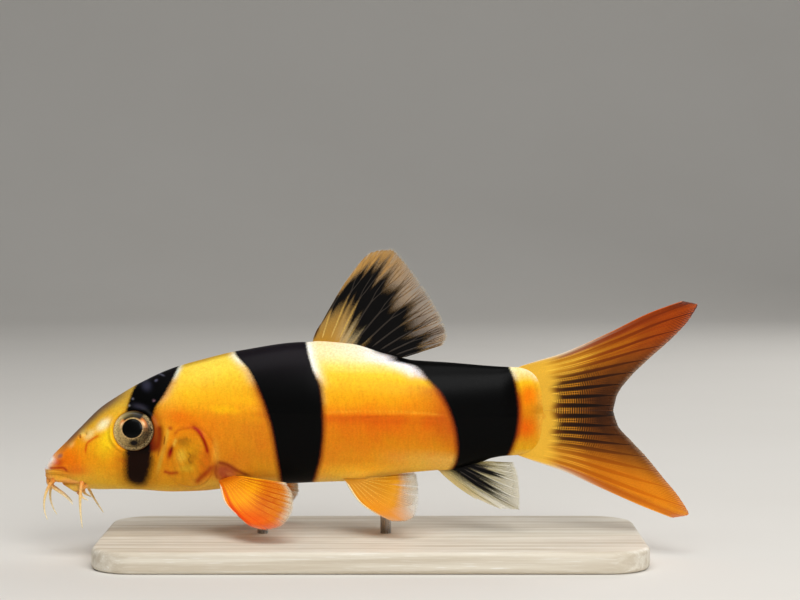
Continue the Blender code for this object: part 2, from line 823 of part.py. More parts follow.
# The paired fins start a little further off the skin, as half their thickness lies towards it,
# and the rear rays too stand off the flank at their tips
PAIRED_ROOT_GAP = TOUCH_GAP + 0.25 * MM
PAIRED_STAND_OFF = 1.5 * MM
PECTORAL = {
    "root": ((32.2, -12.6), (35.4, -11.2)),
    "splay": 46.0,
    "cup": 1.2 * MM,
    "rays": 12,
    "rows": 8,
    "bend": ((0, 0), (0.5, -1.5), (1, 0)),
    "margin": (
        (0.0, 36.0, -17.9),
        (0.1, 38.7, -19.7),
        (0.2, 41.1, -20.1),
        (0.34, 43.9, -19.5),
        (0.48, 45.3, -18.2),
        (0.62, 46.0, -16.6),
        (0.8, 46.0, -14.7),
        (1.0, 44.6, -12.4),
    ),
}
PELVIC = {
    "root": ((55.2, -12.3), (58.8, -11.9)),
    "splay": 32.0,
    "cup": 0.7 * MM,
    "rays": 9,
    "rows": 7,
    "bend": ((0, 0), (0.5, -1.1), (1, 0)),
    "margin": (
        (0.0, 61.6, -18.5),
        (0.14, 64.3, -19.4),
        (0.28, 66.3, -19.3),
        (0.42, 67.8, -18.7),
        (0.56, 68.5, -16.9),
        (0.7, 68.7, -14.9),
        (0.85, 68.5, -13.0),
        (1.0, 67.8, -11.5),
    ),
}


def paired_fin(name, sizes, side, material, collection):
    """A fin rooted on the flank that fans back and out, splayed from the upright by an angle.

    Its side view is its margin, and it comes out from the body by the tangent of the splay for
    each drop below its root. cup bends the middle of the fan down.
    """
    shares, on_ray = fan_columns(sizes["rays"])
    front, rear = (np.array(place) * MM for place in sizes["root"])
    roots = [skin_place(*(front + (rear - front) * share), side) for share in shares]
    base_3d = np.array([point + outward * PAIRED_ROOT_GAP for point, outward in roots])
    base = base_3d[:, [0, 2]]
    tips = outline_at(shares, sizes["margin"])
    flat, v = fan_grid(base, tips, on_ray, sizes["rows"], sizes["bend"])
    drop = np.maximum(base[:, None, 1] - flat[..., 1], 0)
    lift = math.tan(math.radians(sizes["splay"])) * drop
    cup = sizes["cup"] * (4 * v * (1 - v))[None, :] * np.sin(math.pi * shares)[:, None]
    y = base_3d[:, None, 1] + side * (lift + PAIRED_STAND_OFF * v[None, :] - cup)
    middle = np.stack([flat[..., 0], y, flat[..., 1]], axis=-1)
    grid_shell(name, middle, fin_thickness(on_ray, v), material, collection)


# The stand


def make_stand(materials, collection):
    """A flat base with rounded corners and two thin rods that end just under the belly."""
    outline = bpy.data.curves.new("stand_base", "CURVE")
    outline.dimensions = "2D"
    outline.fill_mode = "BOTH"
    outline.extrude = BASE_THICKNESS / 2
    half_length, half_width = BASE_LENGTH / 2 - BASE_CORNER, BASE_WIDTH / 2 - BASE_CORNER
    corners = ((1, 1, 0), (-1, 1, 90), (-1, -1, 180), (1, -1, 270))
    path = []
    for along, across, start in corners:
        for step in np.linspace(0, 90, BASE_CORNER_STEPS):
            turn = math.radians(start + step)
            path.append(
                (
                    along * half_length + BASE_CORNER * math.cos(turn),
                    across * half_width + BASE_CORNER * math.sin(turn),
                )
            )
    spline = outline.splines.new("POLY")
    spline.points.add(len(path) - 1)
    for point, place in zip(spline.points, path):
        point.co = (*place, 0, 1)
    spline.use_cyclic_u = True
    base = bpy.data.objects.new("stand_base", outline)
    base.location.z = BASE_THICKNESS / 2
    collection.objects.link(base)
    outline.materials.append(materials["base"])
    weld = base.modifiers.new("Weld", "WELD")
    weld.merge_threshold = WELD_DISTANCE
    bevel = base.modifiers.new("Bevel", "BEVEL")
    bevel.width = BASE_CHAMFER
    bevel.segments = 1
    bevel.limit_method = "ANGLE"
    bevel.angle_limit = math.radians(60)
    for name, x in ROD_PLACES.items():
        over_rod = np.array([x - ROD_RADIUS, x, x + ROD_RADIUS])
        top = float(body_sizes(over_rod)[1].min()) + AXIS_HEIGHT - TOUCH_GAP
        bottom = BASE_THICKNESS + TOUCH_GAP
        place = Matrix.Translation((x - TOTAL_LENGTH / 2, 0, (top + bottom) / 2))
        plain_solid(
            "stand_rod_" + name,
            lambda made: bmesh.ops.create_cone(
                made, cap_ends=True, segments=16, radius1=1, radius2=1, depth=1
            ),
            place @ Matrix.Diagonal((ROD_RADIUS, ROD_RADIUS, top - bottom, 1)),
            materials["rod"],
            collection,
        )


def make_fish(materials, collection):
    """Every piece of the fish, in its own frame."""
    skin, fin = materials["skin"], materials["fin"]
    make_head(materials, collection)
    for side_name in SIDES:
        make_gill_cover(side_name, materials["gill"], collection)
    torso_ends = {"first": SHOULDER_CUT - CUT_SPARE, "last": STEM_CUT + CUT_SPARE}
    torso = body_loft("torso", skin, collection, **torso_ends)
    slice_across(torso, SHOULDER_CUT + TOUCH_GAP / 2, keep_rear=True)
    slice_across(torso, STEM_CUT - TOUCH_GAP / 2, keep_rear=False)
    stem = body_loft("tail_stem", skin, collection, first=STEM_CUT - CUT_SPARE)
    slice_across(stem, STEM_CUT + TOUCH_GAP / 2, keep_rear=True)
    make_eyes(materials["eye"], collection)
    make_barbels(materials["barbel"], collection)
    ridge_fin("dorsal_fin", DORSAL, True, fin, collection)
    ridge_fin("anal_fin", ANAL, False, fin, collection)
    make_tail_lobe("tail_fin_upper", UPPER_LOBE, fin, collection)
    make_tail_lobe("tail_fin_lower", LOWER_LOBE, fin, collection)
    for side_name, side in SIDES.items():
        paired_fin("pectoral_fin_" + side_name, PECTORAL, side, fin, collection)
        paired_fin("pelvic_fin_" + side_name, PELVIC, side, fin, collection)


def main():
    """Build the fish and its stand."""
    clear_scene()
    fish = bpy.data.collections.new("clown_loach")
    stand = bpy.data.collections.new("display_stand")
    for collection in (fish, stand):
        bpy.context.scene.collection.children.link(collection)
    materials = {
        "skin": make_material("golden_skin", (0.80, 0.40, 0.05), 0.35),
        "gill": make_material("gill_cover_skin", (0.78, 0.32, 0.05), 0.35),
        "fin": make_material("orange_fin", (0.80, 0.25, 0.03), 0.4),
        "barbel": make_material("barbel_flesh", (0.80, 0.50, 0.22), 0.4),
        "eye": make_material("eye", (0.02, 0.02, 0.02), 0.1),
        "base": make_material("limed_ash", (0.72, 0.68, 0.60), 0.55),
        "rod": make_material("steel_rod", (0.60, 0.60, 0.62), 0.3, 1.0),
    }
    make_fish(materials, fish)
    make_stand(materials, stand)
    holder = bpy.data.objects.new("fish_over_stand", None)
    bpy.context.scene.collection.objects.link(holder)
    holder.location = (-TOTAL_LENGTH / 2, 0, AXIS_HEIGHT)
    for obj in fish.objects:
        obj.parent = holder


main()
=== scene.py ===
"""A clown loach, life size, on its display stand.

The skin, eyes, barbels and fins are surfaces worked out with numpy in the fish's own frame, in
millimetres: x runs back from the tip of the snout, z up from the axis of the tail and the left
flank is at negative y. Each finished piece is then put over the stand in metres.
"""

import logging
import math
from collections.abc import Callable
from dataclasses import dataclass, field
from enum import Enum
from functools import partial
from itertools import product

import bpy
import numpy as np
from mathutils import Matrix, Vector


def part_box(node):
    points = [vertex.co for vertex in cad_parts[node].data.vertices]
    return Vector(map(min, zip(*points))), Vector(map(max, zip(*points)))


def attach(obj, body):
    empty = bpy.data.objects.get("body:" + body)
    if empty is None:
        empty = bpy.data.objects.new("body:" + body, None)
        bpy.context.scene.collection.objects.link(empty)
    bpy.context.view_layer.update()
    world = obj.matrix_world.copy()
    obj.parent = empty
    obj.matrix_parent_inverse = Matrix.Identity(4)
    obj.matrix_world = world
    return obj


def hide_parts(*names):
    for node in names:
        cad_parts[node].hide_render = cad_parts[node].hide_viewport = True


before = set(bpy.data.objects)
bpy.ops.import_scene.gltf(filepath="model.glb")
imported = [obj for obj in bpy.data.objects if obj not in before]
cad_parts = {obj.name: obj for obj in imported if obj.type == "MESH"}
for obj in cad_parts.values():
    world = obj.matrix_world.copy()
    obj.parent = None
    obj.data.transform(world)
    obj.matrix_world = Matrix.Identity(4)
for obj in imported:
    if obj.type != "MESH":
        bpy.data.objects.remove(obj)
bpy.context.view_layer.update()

MM = 0.001
log = logging.getLogger("clown_loach")

Array = np.ndarray
Object = bpy.types.Object
Material = bpy.types.Material
NodeTree = bpy.types.NodeTree
NodeSocket = bpy.types.NodeSocket
Pair = tuple[float, float]
Triple = tuple[float, float, float]
Quad = tuple[float, float, float, float]
Pairs = tuple[Pair, ...]
Triples = tuple[Triple, ...]
Steps = tuple[tuple[float, str], ...]


class Side(Enum):
    """The two flanks, by the sign of y on them."""

    LEFT = -1
    RIGHT = 1

    @property
    def word(self) -> str:
        """The side's name as the nodes' names end."""
        return self.name.lower()


# Formulas that the pieces share


def linear(colour: str) -> Array:
    """An sRGB hex colour as linear light.

    Each channel c is c / 12.92 up to 0.04045, and ((c + 0.055) / 1.055) to the power 2.4 above.

    Args:
        colour: six hex digits after a hash.

    Returns:
        Red, green and blue from 0 to 1.
    """
    channels = np.array([int(colour[place : place + 2], 16) / 255 for place in (1, 3, 5)])
    return np.where(channels <= 0.04045, channels / 12.92, ((channels + 0.055) / 1.055) ** 2.4)


def ease(low: float, high: float, value: Array) -> Array:
    """Nothing below low, one above high, and 3t^2 - 2t^3 of the way t in between."""
    t = np.clip((np.asarray(value, float) - low) / (high - low), 0, 1)
    return t * t * (3 - 2 * t)


def between(value: Array, low: float, full: float, fade: float, high: float) -> Array:
    """One from full to fade and nothing outside low to high, eased at both ends."""
    return ease(low, full, value) * ease(high, fade, value)


def bell(distance: Array, width: float) -> Array:
    """One at no distance, falling as the exponential of -(distance / width) squared."""
    return np.exp(-((np.asarray(distance, float) / width) ** 2))


def turned(across: Array, up: Array, degrees: float) -> tuple[Array, Array]:
    """Two coordinates in axes that are turned by an angle."""
    sine, cosine = math.sin(math.radians(degrees)), math.cos(math.radians(degrees))
    return across * cosine + up * sine, up * cosine - across * sine


def smooth_curve(x: Array, knots: Array, values: Array) -> Array:
    """A cubic through the knots whose slope at each is the harmonic mean of those beside it.

    Args:
        x: where to read it; outside the knots it stays level.
        knots: rising places.
        values: what the curve has there.

    Returns:
        The curve at x.
    """
    knots = np.asarray(knots, float)
    values = np.asarray(values, float)
    steps = np.diff(knots)
    chords = np.diff(values) / steps
    before, after = chords[:-1], chords[1:]
    same_way = before * after > 0
    total = np.where(same_way, before + after, 1.0)
    middle = np.where(same_way, 2 * before * after / total, 0.0)
    slopes = np.concatenate([chords[:1], middle, chords[-1:]])
    x = np.clip(np.asarray(x, float), knots[0], knots[-1])
    place = np.clip(np.searchsorted(knots, x, side="right") - 1, 0, len(steps) - 1)
    width = steps[place]
    t = (x - knots[place]) / width
    return (
        values[place] * (1 + 2 * t) * (1 - t) ** 2
        + slopes[place] * width * t * (1 - t) ** 2
        + values[place + 1] * t * t * (3 - 2 * t)
        - slopes[place + 1] * width * t * t * (1 - t)
    )


def nearest_on(points: Array, path: Array) -> tuple[Array, Array]:
    """The distance from each point to the nearest of a path's points, and that one's place.

    Args:
        points: array that ends in the two or three coordinates.
        path: the path's points, close together.

    Returns:
        The distances, and the index of the nearest path point.
    """
    flat = points.reshape(-1, points.shape[-1])
    gaps = np.linalg.norm(flat[:, None, :] - path[None], axis=2)
    nearest = gaps.argmin(axis=1)
    shape = points.shape[:-1]
    return gaps[np.arange(len(flat)), nearest].reshape(shape), nearest.reshape(shape)


def surface_normals(grid: Array, wraps: bool = False) -> Array:
    """Unit normals of a grid: the cross product of its differences along its two directions.

    Args:
        grid: points by row and column.
        wraps: whether the last column is beside the first.

    Returns:
        A normal for each point.
    """
    along = np.gradient(grid, axis=0)
    if wraps:
        across = np.roll(grid, -1, axis=1) - np.roll(grid, 1, axis=1)
    else:
        across = np.gradient(grid, axis=1)
    normal = np.cross(along, across)
    return normal / np.maximum(np.linalg.norm(normal, axis=-1, keepdims=True), 1e-12)


# Meshes


@dataclass
class Surface:
    """Vertices and faces of a piece in the making, with its colours and other values."""

    points: Array
    faces: list[Array]
    values: dict[str, Array] = field(default_factory=dict)

    @staticmethod
    def joined(parts: list["Surface"]) -> "Surface":
        """Several surfaces as one, each with its own vertices."""
        starts = np.cumsum([0] + [len(part.points) for part in parts])
        faces = [face + start for part, start in zip(parts, starts) for face in part.faces]
        values = {
            name: np.concatenate([part.values[name] for part in parts]) for name in parts[0].values
        }
        return Surface(np.concatenate([part.points for part in parts]), faces, values)


def grid_quads(rows: int, columns: int, wraps: bool, start: int = 0) -> Array:
    """Quads of a grid of vertices numbered row by row, which may close across its columns."""
    last = columns if wraps else columns - 1
    row, column = np.meshgrid(np.arange(rows - 1), np.arange(last), indexing="ij")
    beside = (column + 1) % columns
    corners = (
        row * columns + column,
        row * columns + beside,
        (row + 1) * columns + beside,
        (row + 1) * columns + column,
    )
    return np.stack(corners, axis=-1).reshape(-1, 4) + start


def closed_tube(rings: Array) -> tuple[Array, list[Array]]:
    """Rings of points along a piece as one closed surface, with a point in each end.

    Args:
        rings: points by ring and place round it.

    Returns:
        The vertices, and the faces.
    """
    count, round_ = rings.shape[:2]
    ends = np.stack([rings[0].mean(axis=0), rings[-1].mean(axis=0)])
    points = np.concatenate([rings.reshape(-1, 3), ends])
    place = np.arange(round_)
    beside = (place + 1) % round_
    first, last = count * round_, count * round_ + 1
    start = (count - 1) * round_
    fans = [
        np.stack([np.full(round_, first), beside, place], axis=1),
        np.stack([np.full(round_, last), start + place, start + beside], axis=1),
    ]
    return points, [grid_quads(count, round_, True), *fans]


def round_tube(value: Array, sides: int) -> Array:
    """A value for each ring of a closed tube as one for each of its vertices."""
    return np.concatenate([np.repeat(value, sides, axis=0), value[[0, -1]]])


def make_piece(
    name: str, surface: Surface, material: Material, place: "FishPlace | None" = None
) -> Object:
    """A mesh object at the origin, with its place in its mesh and its faces pointing out.

    Args:
        name: the piece's name.
        surface: its vertices, faces and values.
        material: its finish.
        place: where the fish hangs, for a piece in the fish's own millimetres.

    Returns:
        The object.
    """
    points = surface.points if place is None else place.in_scene(surface.points)
    mesh = bpy.data.meshes.new(name)
    corners = np.concatenate([face.ravel() for face in surface.faces])
    sizes = np.concatenate([np.full(len(face), face.shape[1]) for face in surface.faces])
    mesh.vertices.add(len(points))
    mesh.vertices.foreach_set("co", points.astype(np.float32).ravel())
    mesh.loops.add(len(corners))
    mesh.loops.foreach_set("vertex_index", corners.astype(np.int32))
    mesh.polygons.add(len(sizes))
    starts = np.concatenate([[0], np.cumsum(sizes)[:-1]])
    mesh.polygons.foreach_set("loop_start", starts.astype(np.int32))
    mesh.update(calc_edges=True)
    mesh.validate()
    for value_name, value in surface.values.items():
        if value.ndim == 2:
            colour = np.concatenate([value, np.ones((len(value), 1))], axis=1)
            kept = mesh.attributes.new(value_name, "FLOAT_COLOR", "POINT")
            kept.data.foreach_set("color", colour.astype(np.float32).ravel())
        else:
            kept = mesh.attributes.new(value_name, "FLOAT", "POINT")
            kept.data.foreach_set("value", value.astype(np.float32))
    mesh.materials.append(material)
    mesh.shade_smooth()
    obj = bpy.data.objects.new(name, mesh)
    bpy.context.scene.collection.objects.link(obj)
    return obj


def report(piece: Object, slot: str, *nodes: str) -> Object:
    """Put a piece on the model's one body in place of its nodes, and log it.

    Args:
        piece: the finished piece.
        slot: not used.
        nodes: the nodes that it stands for.

    Returns:
        The piece.
    """
    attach(piece, "root")
    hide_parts(*nodes)
    mesh = piece.data
    triangles = len(mesh.loops) - 2 * len(mesh.polygons)
    log.info("%s: %d triangles for %s", piece.name, triangles, ", ".join(nodes))
    return piece


# Paint

PATCH_POWER = 1.3
STROKE_POINTS = 80


@dataclass(frozen=True)
class Patch:
    """A soft oval of colour, in the plane that a piece is painted in."""

    colour: str
    place: Pair
    reach: Pair
    lean: float = 0.0
    strength: float = 1.0
    veil: float | None = None

    def weight(self, across: Array, up: Array) -> Array:
        """Its strength at a point: a bell, a little flat on top, of the distance in reaches."""
        over, above = turned(across - self.place[0], up - self.place[1], self.lean)
        share = (over / self.reach[0]) ** 2 + (above / self.reach[1]) ** 2
        return self.strength * np.exp(-(share**PATCH_POWER))


@dataclass(frozen=True)
class Stroke:
    """A line of colour through a few points, soft at its edges and fading at its ends."""

    colour: str
    points: Pairs
    width: float
    strength: float = 1.0

    def path(self) -> Array:
        """Points close together on a smooth curve through the stroke's own points."""
        knots = np.array(self.points)
        share = np.linspace(0, 1, len(knots))
        fine = np.linspace(0, 1, STROKE_POINTS)
        return np.stack([smooth_curve(fine, share, knots[:, k]) for k in (0, 1)], axis=1)

    def weight(self, across: Array, up: Array) -> Array:
        """Its strength at a point, a bell of the distance from the line."""
        path = self.path()
        near = np.stack([across, up], axis=-1)
        low = path.min(axis=0) - 3 * self.width
        high = path.max(axis=0) + 3 * self.width
        inside = ((near > low) & (near < high)).all(axis=-1)
        result = np.zeros(np.shape(across))
        if inside.any():
            gap, place = nearest_on(near[inside], path)
            from_end = np.minimum(place, len(path) - 1 - place) / len(path)
            result[inside] = self.strength * bell(gap, self.width) * ease(-0.05, 0.15, from_end)
        return result


class Band(Enum):
    """The dark bands, by rising height with the lengths of the front and rear edge there."""

    EYE = (
        (-13.6, 15.3, 18.2), (-12.4, 15, 18.9), (-10.4, 14.85, 19.7), (-8.3, 14.95, 20.1),
        (-6.5, 15.1, 19.8), (-3, 15, 19.8), (0.6, 15.2, 20.4), (3.5, 15.9, 22.2),
        (6, 17.2, 23.5), (9.5, 19.5, 25),
    )
    SHOULDER = (
        (-14, 43.6, 48.6), (-11.5, 43.4, 49.6), (-7.2, 42.8, 50.7), (-2.6, 42, 51.1),
        (1.1, 40.9, 51), (4.8, 39.4, 50.6), (8.1, 37.4, 49.3), (11, 34.6, 48.4),
        (13, 33.6, 47.9),
    )
    REAR = (
        (-12, 74.2, 83.4), (-9.4, 75.6, 84.4), (-7.2, 76, 85.6), (-4, 75.7, 86.6),
        (0, 74.6, 87), (3.9, 72.6, 86.6), (6.2, 70.2, 86.1), (8.4, 67.6, 85.3),
        (9.4, 63.6, 84.9),
    )


@dataclass(frozen=True)
class Margin:
    """A soft strip of colour outside the front or rear edge of a band, over part of its height."""

    colour: str
    band: Band
    rear: bool
    width: float
    heights: Quad
    strength: float = 1.0

    def weight(self, gap: Array, up: Array) -> Array:
        """A bell of the distance from the edge, between the strip's heights."""
        return self.strength * bell(gap, self.width) * between(up, *self.heights)


def mixed(under: Array, colour: str | Array, weight: Array) -> Array:
    """Linear colour laid over another by a weight for each point."""
    over = linear(colour) if isinstance(colour, str) else colour
    return under + (over - under) * np.clip(weight, 0, 1)[..., None]


def painted(
    ground: Array, marks: tuple[Patch | Stroke, ...], across: Array, up: Array
) -> Array:
    """The marks laid over a ground colour, one after another."""
    for mark in marks:
        ground = mixed(ground, mark.colour, mark.weight(across, up))
    return ground


def ladder(height: Array, steps: Steps) -> Array:
    """Colours at rising heights, mixed evenly between two of them."""
    heights = [step[0] for step in steps]
    colours = np.array([linear(step[1]) for step in steps])
    return np.stack([np.interp(height, heights, colours[:, k]) for k in range(3)], axis=-1)


# Finishes


def rgba(colour: str) -> Quad:
    """An sRGB hex colour as a node socket takes it."""
    return (*linear(colour), 1.0)


def add_node(
    tree: NodeTree, kind: str, inputs: dict | tuple = (), output: int | str = 0, **settings: object
) -> NodeSocket | None:
    """Add a node with its settings and links.

    Args:
        tree: the nodes of a material or of the surround.
        kind: the node's type, less the word that every type starts with.
        inputs: plain values or the outputs that feed them, by name or number or in order.
        output: the output that is wanted, by name or number.
        settings: the node's own settings.

    Returns:
        That output, or nothing from a node that has none.
    """
    node = tree.nodes.new(f"ShaderNode{kind}")
    for name, value in settings.items():
        setattr(node, name, value)
    for socket, value in inputs.items() if isinstance(inputs, dict) else enumerate(inputs):
        if isinstance(value, NodeSocket):
            tree.links.new(value, node.inputs[socket])
        else:
            node.inputs[socket].default_value = value
    return node.outputs[output] if node.outputs else None


class Finish:
    """A real finish as a Principled BSDF, whose inputs each kind of finish gives."""

    name: str

    def inputs(self, add: Callable) -> dict[str, object]:
        """The shader's inputs by name, with any nodes added that feed them."""
        raise NotImplementedError

    def material(self) -> Material:
        """The finish as a material."""
        material = bpy.data.materials.new(self.name)
        material.use_nodes = True
        material.node_tree.nodes.clear()
        add = partial(add_node, material.node_tree)
        add("OutputMaterial", {"Surface": add("BsdfPrincipled", self.inputs(add))})
        return material


@dataclass(frozen=True)
class WetSkin(Finish):
    """Live fish skin, painted and glazed as on a museum cast.

    A clear slime coat lies over scales too small to count, so the gloss is low and soft and
    broken by fine grain. The colour under it is mottled from yellow to orange, with faint
    upright streaks of muscle. The black bands fade out over half a millimetre, scale by scale,
    into a red-brown fringe.
    """

    name: str = "glazed_fish_skin"
    grain: float = 0.24 * MM
    grain_depth: float = 0.02 * MM
    streak: float = 0.55 * MM
    streak_share: float = 0.4
    cloud: float = 4 * MM
    mottle: float = 0.42 * MM
    deep: Quad = (0.92, 0.66, 0.3, 1.0)
    fray: float = 0.17 * MM
    band_wander: float = 0.55
    fringe: str = "#6A2206"
    crease: float = 1.4
    roughness: Pair = (0.36, 0.52)

    def inputs(self, add: Callable) -> dict[str, object]:
        """The skin's inputs. Its mesh keeps tint, ink, band, warm and line for each point."""
        here = add("TexCoord", output="Object")
        grain, streak, cloud, mottle, frayed = (
            add("TexNoise", {
                "Vector": add("Mapping", {"Vector": here, "Scale": squeeze}),
                "Scale": 1 / size, "Detail": detail, "Roughness": mix,
            })
            for size, squeeze, detail, mix in (
                (self.grain, (0.8, 0.8, 1), 3, 0.5),
                (self.streak, (1.25, 1, 0.2), 3, 0.5),
                (self.cloud, (1, 1, 1), 3, 0.5),
                (self.mottle, (1, 1, 1), 3, 0.7),
                (self.fray, (1, 1, 1), 1, 0.5),
            )
        )
        tint, ink, band, warm, line = (
            add("Attribute", output=output, attribute_name=kept)
            for kept, output in (
                ("tint", "Color"), ("ink", "Color"),
                ("band", "Fac"), ("warm", "Fac"), ("line", "Fac"),
            )
        )
        fine = add("Math", (grain, 1 - self.streak_share), operation="MULTIPLY")
        broken = add("Math", (streak, self.streak_share, fine), operation="MULTIPLY_ADD")
        spots = add("MapRange", (mottle, 0.42, 0.68, 0, 0.42))
        ground = {0: spots, 6: tint, 7: self.deep}
        shade = add("HueSaturation", {
            "Hue": add("MapRange", (cloud, 0.3, 0.7, 0.494, 0.506)),
            "Value": add("MapRange", (broken, 0.3, 0.7, 0.88, 1.12)),
            "Color": add("Mix", ground, 2, data_type="RGBA", blend_type="MULTIPLY"),
        })
        off = add("Math", (frayed, 0.5), operation="SUBTRACT")
        edge = add("Math", (off, self.band_wander, band), operation="MULTIPLY_ADD")
        beside = add("MapRange", (edge, -1.0, 0.05, 0, 0.95))
        warmth = add("Math", (beside, warm), operation="MULTIPLY")
        fringed = add("Mix", {0: warmth, 6: shade, 7: rgba(self.fringe)}, 2, data_type="RGBA")
        inside = add("MapRange", (edge, -0.27, 0.27, 0, 1))
        height = add("Math", (line, self.crease, broken), operation="MULTIPLY_ADD")
        return {
            "Base Color": add("Mix", {0: inside, 6: fringed, 7: ink}, 2, data_type="RGBA"),
            "Roughness": add("MapRange", (grain, 0.3, 0.7, *self.roughness)),
            "Normal": add("Bump", {"Strength": 1, "Distance": self.grain_depth, "Height": height}),
            "IOR": 1.4, "Specular IOR Level": 0.05,
            "Coat Weight": 0.075, "Coat Roughness": 0.26, "Coat IOR": 1.38,
            "Subsurface Weight": 0.12, "Subsurface Radius": (1.0, 0.35, 0.1),
            "Subsurface Scale": 0.7 * MM,
        }


@dataclass(frozen=True)
class FinResin(Finish):
    """Fin film, rays and barbels in tinted casting resin, satin and a little wet.

    The black of a blot is stippled as pigment cells are: where the mesh's ink is middling, it
    shows as dark specks the size of a clump of cells, and the film closes under them. What is
    behind the film shows by the veil kept in the mesh.
    """

    name: str
    black: str
    speck: float = 0.09 * MM
    depth: float = 0.01 * MM
    roughness: float = 0.48
    coat: float = 0.03
    stipple: float = 3.3

    def inputs(self, add: Callable) -> dict[str, object]:
        """The resin's inputs. Its mesh keeps tint, veil and ink for each point."""
        here = add("TexCoord", output="Object")
        fleck = add("TexNoise", {"Vector": here, "Scale": 1 / self.speck, "Detail": 3})
        tint, ink, veil = (
            add("Attribute", output=output, attribute_name=kept)
            for kept, output in (("tint", "Color"), ("ink", "Fac"), ("veil", "Fac"))
        )
        shade = add("HueSaturation", {
            "Value": add("MapRange", (fleck, 0.3, 0.7, 0.84, 1.14)), "Color": tint,
        })
        clear = add("Math", (1.0, ink), operation="SUBTRACT")
        middling = add("Math", (ink, clear), operation="MULTIPLY")
        off = add("Math", (0.5, fleck), operation="SUBTRACT")
        swing = add("Math", (middling, off), operation="MULTIPLY")
        stippled = add("Math", (swing, self.stipple, ink), operation="MULTIPLY_ADD")
        dark = add("MapRange", (stippled, 0.16, 0.8, 0, 1))
        return {
            "Base Color": add("Mix", {0: dark, 6: shade, 7: rgba(self.black)}, 2, data_type="RGBA"),
            "Alpha": add("Math", (veil, dark), operation="MAXIMUM"),
            "Normal": add("Bump", {"Strength": 1, "Distance": self.depth, "Height": fleck}),
            "Roughness": self.roughness, "Specular IOR Level": 0.08,
            "Coat Weight": self.coat, "Coat Roughness": 0.15,
        }


@dataclass(frozen=True)
class EyeGlaze(Finish):
    """A painted eye under a thick clear glaze.

    The glaze is smooth over a mottled metallic iris, so one sharp light lies on top of it.
    """

    name: str = "glazed_eye"
    mottle: float = 0.3 * MM
    depth: float = 0.03 * MM
    fleck: str = "#1C140E"

    def inputs(self, add: Callable) -> dict[str, object]:
        """The eye's inputs. Its mesh keeps tint and fleck for each point."""
        here = add("TexCoord", output="Object")
        lumps = {"Vector": here, "Scale": 1 / self.mottle, "Detail": 3, "Roughness": 0.7}
        mottle = add("TexNoise", lumps)
        tint = add("Attribute", output="Color", attribute_name="tint")
        amount = add("Attribute", output="Fac", attribute_name="fleck")
        spots = add("MapRange", (mottle, 0.46, 0.6, 0, 1))
        dark = add("Math", (amount, spots), operation="MULTIPLY")
        return {
            "Base Color": add("Mix", {0: dark, 6: tint, 7: rgba(self.fleck)}, 2, data_type="RGBA"),
            "Normal": add("Bump", {"Strength": 0.6, "Distance": self.depth, "Height": mottle}),
            "Roughness": 0.4, "Specular IOR Level": 0.05,
            "Coat Weight": 0.16, "Coat Roughness": 0.03, "Coat IOR": 1.38,
        }


@dataclass(frozen=True)
class LimedAsh(Finish):
    """Ash board with white wax brushed into its open grain, then rubbed to a satin.

    The grain runs along X with early wood every millimetre or two and pores drawn out along it.
    """

    name: str = "limed_ash"
    ring: float = 1.6 * MM
    pore: float = 0.22 * MM
    pore_depth: float = 0.05 * MM
    board: str = "#E4DCCB"
    late_wood: str = "#CFC3AE"
    wax: str = "#F6F3EC"

    def inputs(self, add: Callable) -> dict[str, object]:
        """The board's inputs."""
        here = add("TexCoord", output="Object")
        rings, pores = (
            add("TexNoise", {
                "Vector": add("Mapping", {"Vector": here, "Scale": (1 / longer, 1, 1)}),
                "Scale": 1 / size, "Detail": 3, "Distortion": bent,
            })
            for size, longer, bent in ((self.ring, 26, 0.4), (self.pore, 22, 0))
        )
        late = add("MapRange", (rings, 0.4, 0.6, 0, 1))
        woods = {0: late, 6: rgba(self.board), 7: rgba(self.late_wood)}
        open_pores = add("MapRange", (pores, 0.56, 0.66, 0, 0.8))
        early = add("MapRange", (rings, 0.35, 0.55, 1, 0.25))
        filled = add("Math", (open_pores, early), operation="MULTIPLY")
        waxed = {0: filled, 6: add("Mix", woods, 2, data_type="RGBA"), 7: rgba(self.wax)}
        return {
            "Base Color": add("Mix", waxed, 2, data_type="RGBA"),
            "Roughness": add("MapRange", (pores, 0.4, 0.7, 0.42, 0.6)),
            "Normal": add("Bump", {"Strength": 0.5, "Distance": self.pore_depth, "Height": pores}),
        }


@dataclass(frozen=True)
class DrawnSteel(Finish):
    """Bright steel rod as drawn: fine lines along it and a satin shine.

    The lines are a few times as wide as real ones, which wouldn't show.
    """

    name: str = "drawn_steel"
    line: float = 0.08 * MM
    drawn_out: float = 60.0
    colour: str = "#C9C9CB"

    def inputs(self, add: Callable) -> dict[str, object]:
        """The rods' inputs."""
        here = add("TexCoord", output="Object")
        along = add("Mapping", {"Vector": here, "Scale": (1, 1, 1 / self.drawn_out)})
        lines = add("TexNoise", {"Vector": along, "Scale": 1 / self.line, "Detail": 3})
        rough = add("MapRange", (lines, 0.3, 0.7, 0.2, 0.34))
        return {"Base Color": rgba(self.colour), "Roughness": rough, "Metallic": 1.0}


@dataclass(frozen=True)
class StudioPaper(Finish):
    """Seamless pale paper, quite matt."""

    name: str = "seamless_paper"
    cloud: float = 90 * MM
    colour: str = "#DDD9D2"
    shade: str = "#D2CDC4"

    def inputs(self, add: Callable) -> dict[str, object]:
        """The paper's inputs."""
        here = add("TexCoord", output="Object")
        cloud = add("TexNoise", {"Vector": here, "Scale": 1 / self.cloud, "Detail": 3})
        share = add("MapRange", (cloud, 0.3, 0.7, 0, 0.2))
        papers = {0: share, 6: rgba(self.colour), 7: rgba(self.shade)}
        return {"Base Color": add("Mix", papers, 2, data_type="RGBA"), "Roughness": 0.9}


# The body


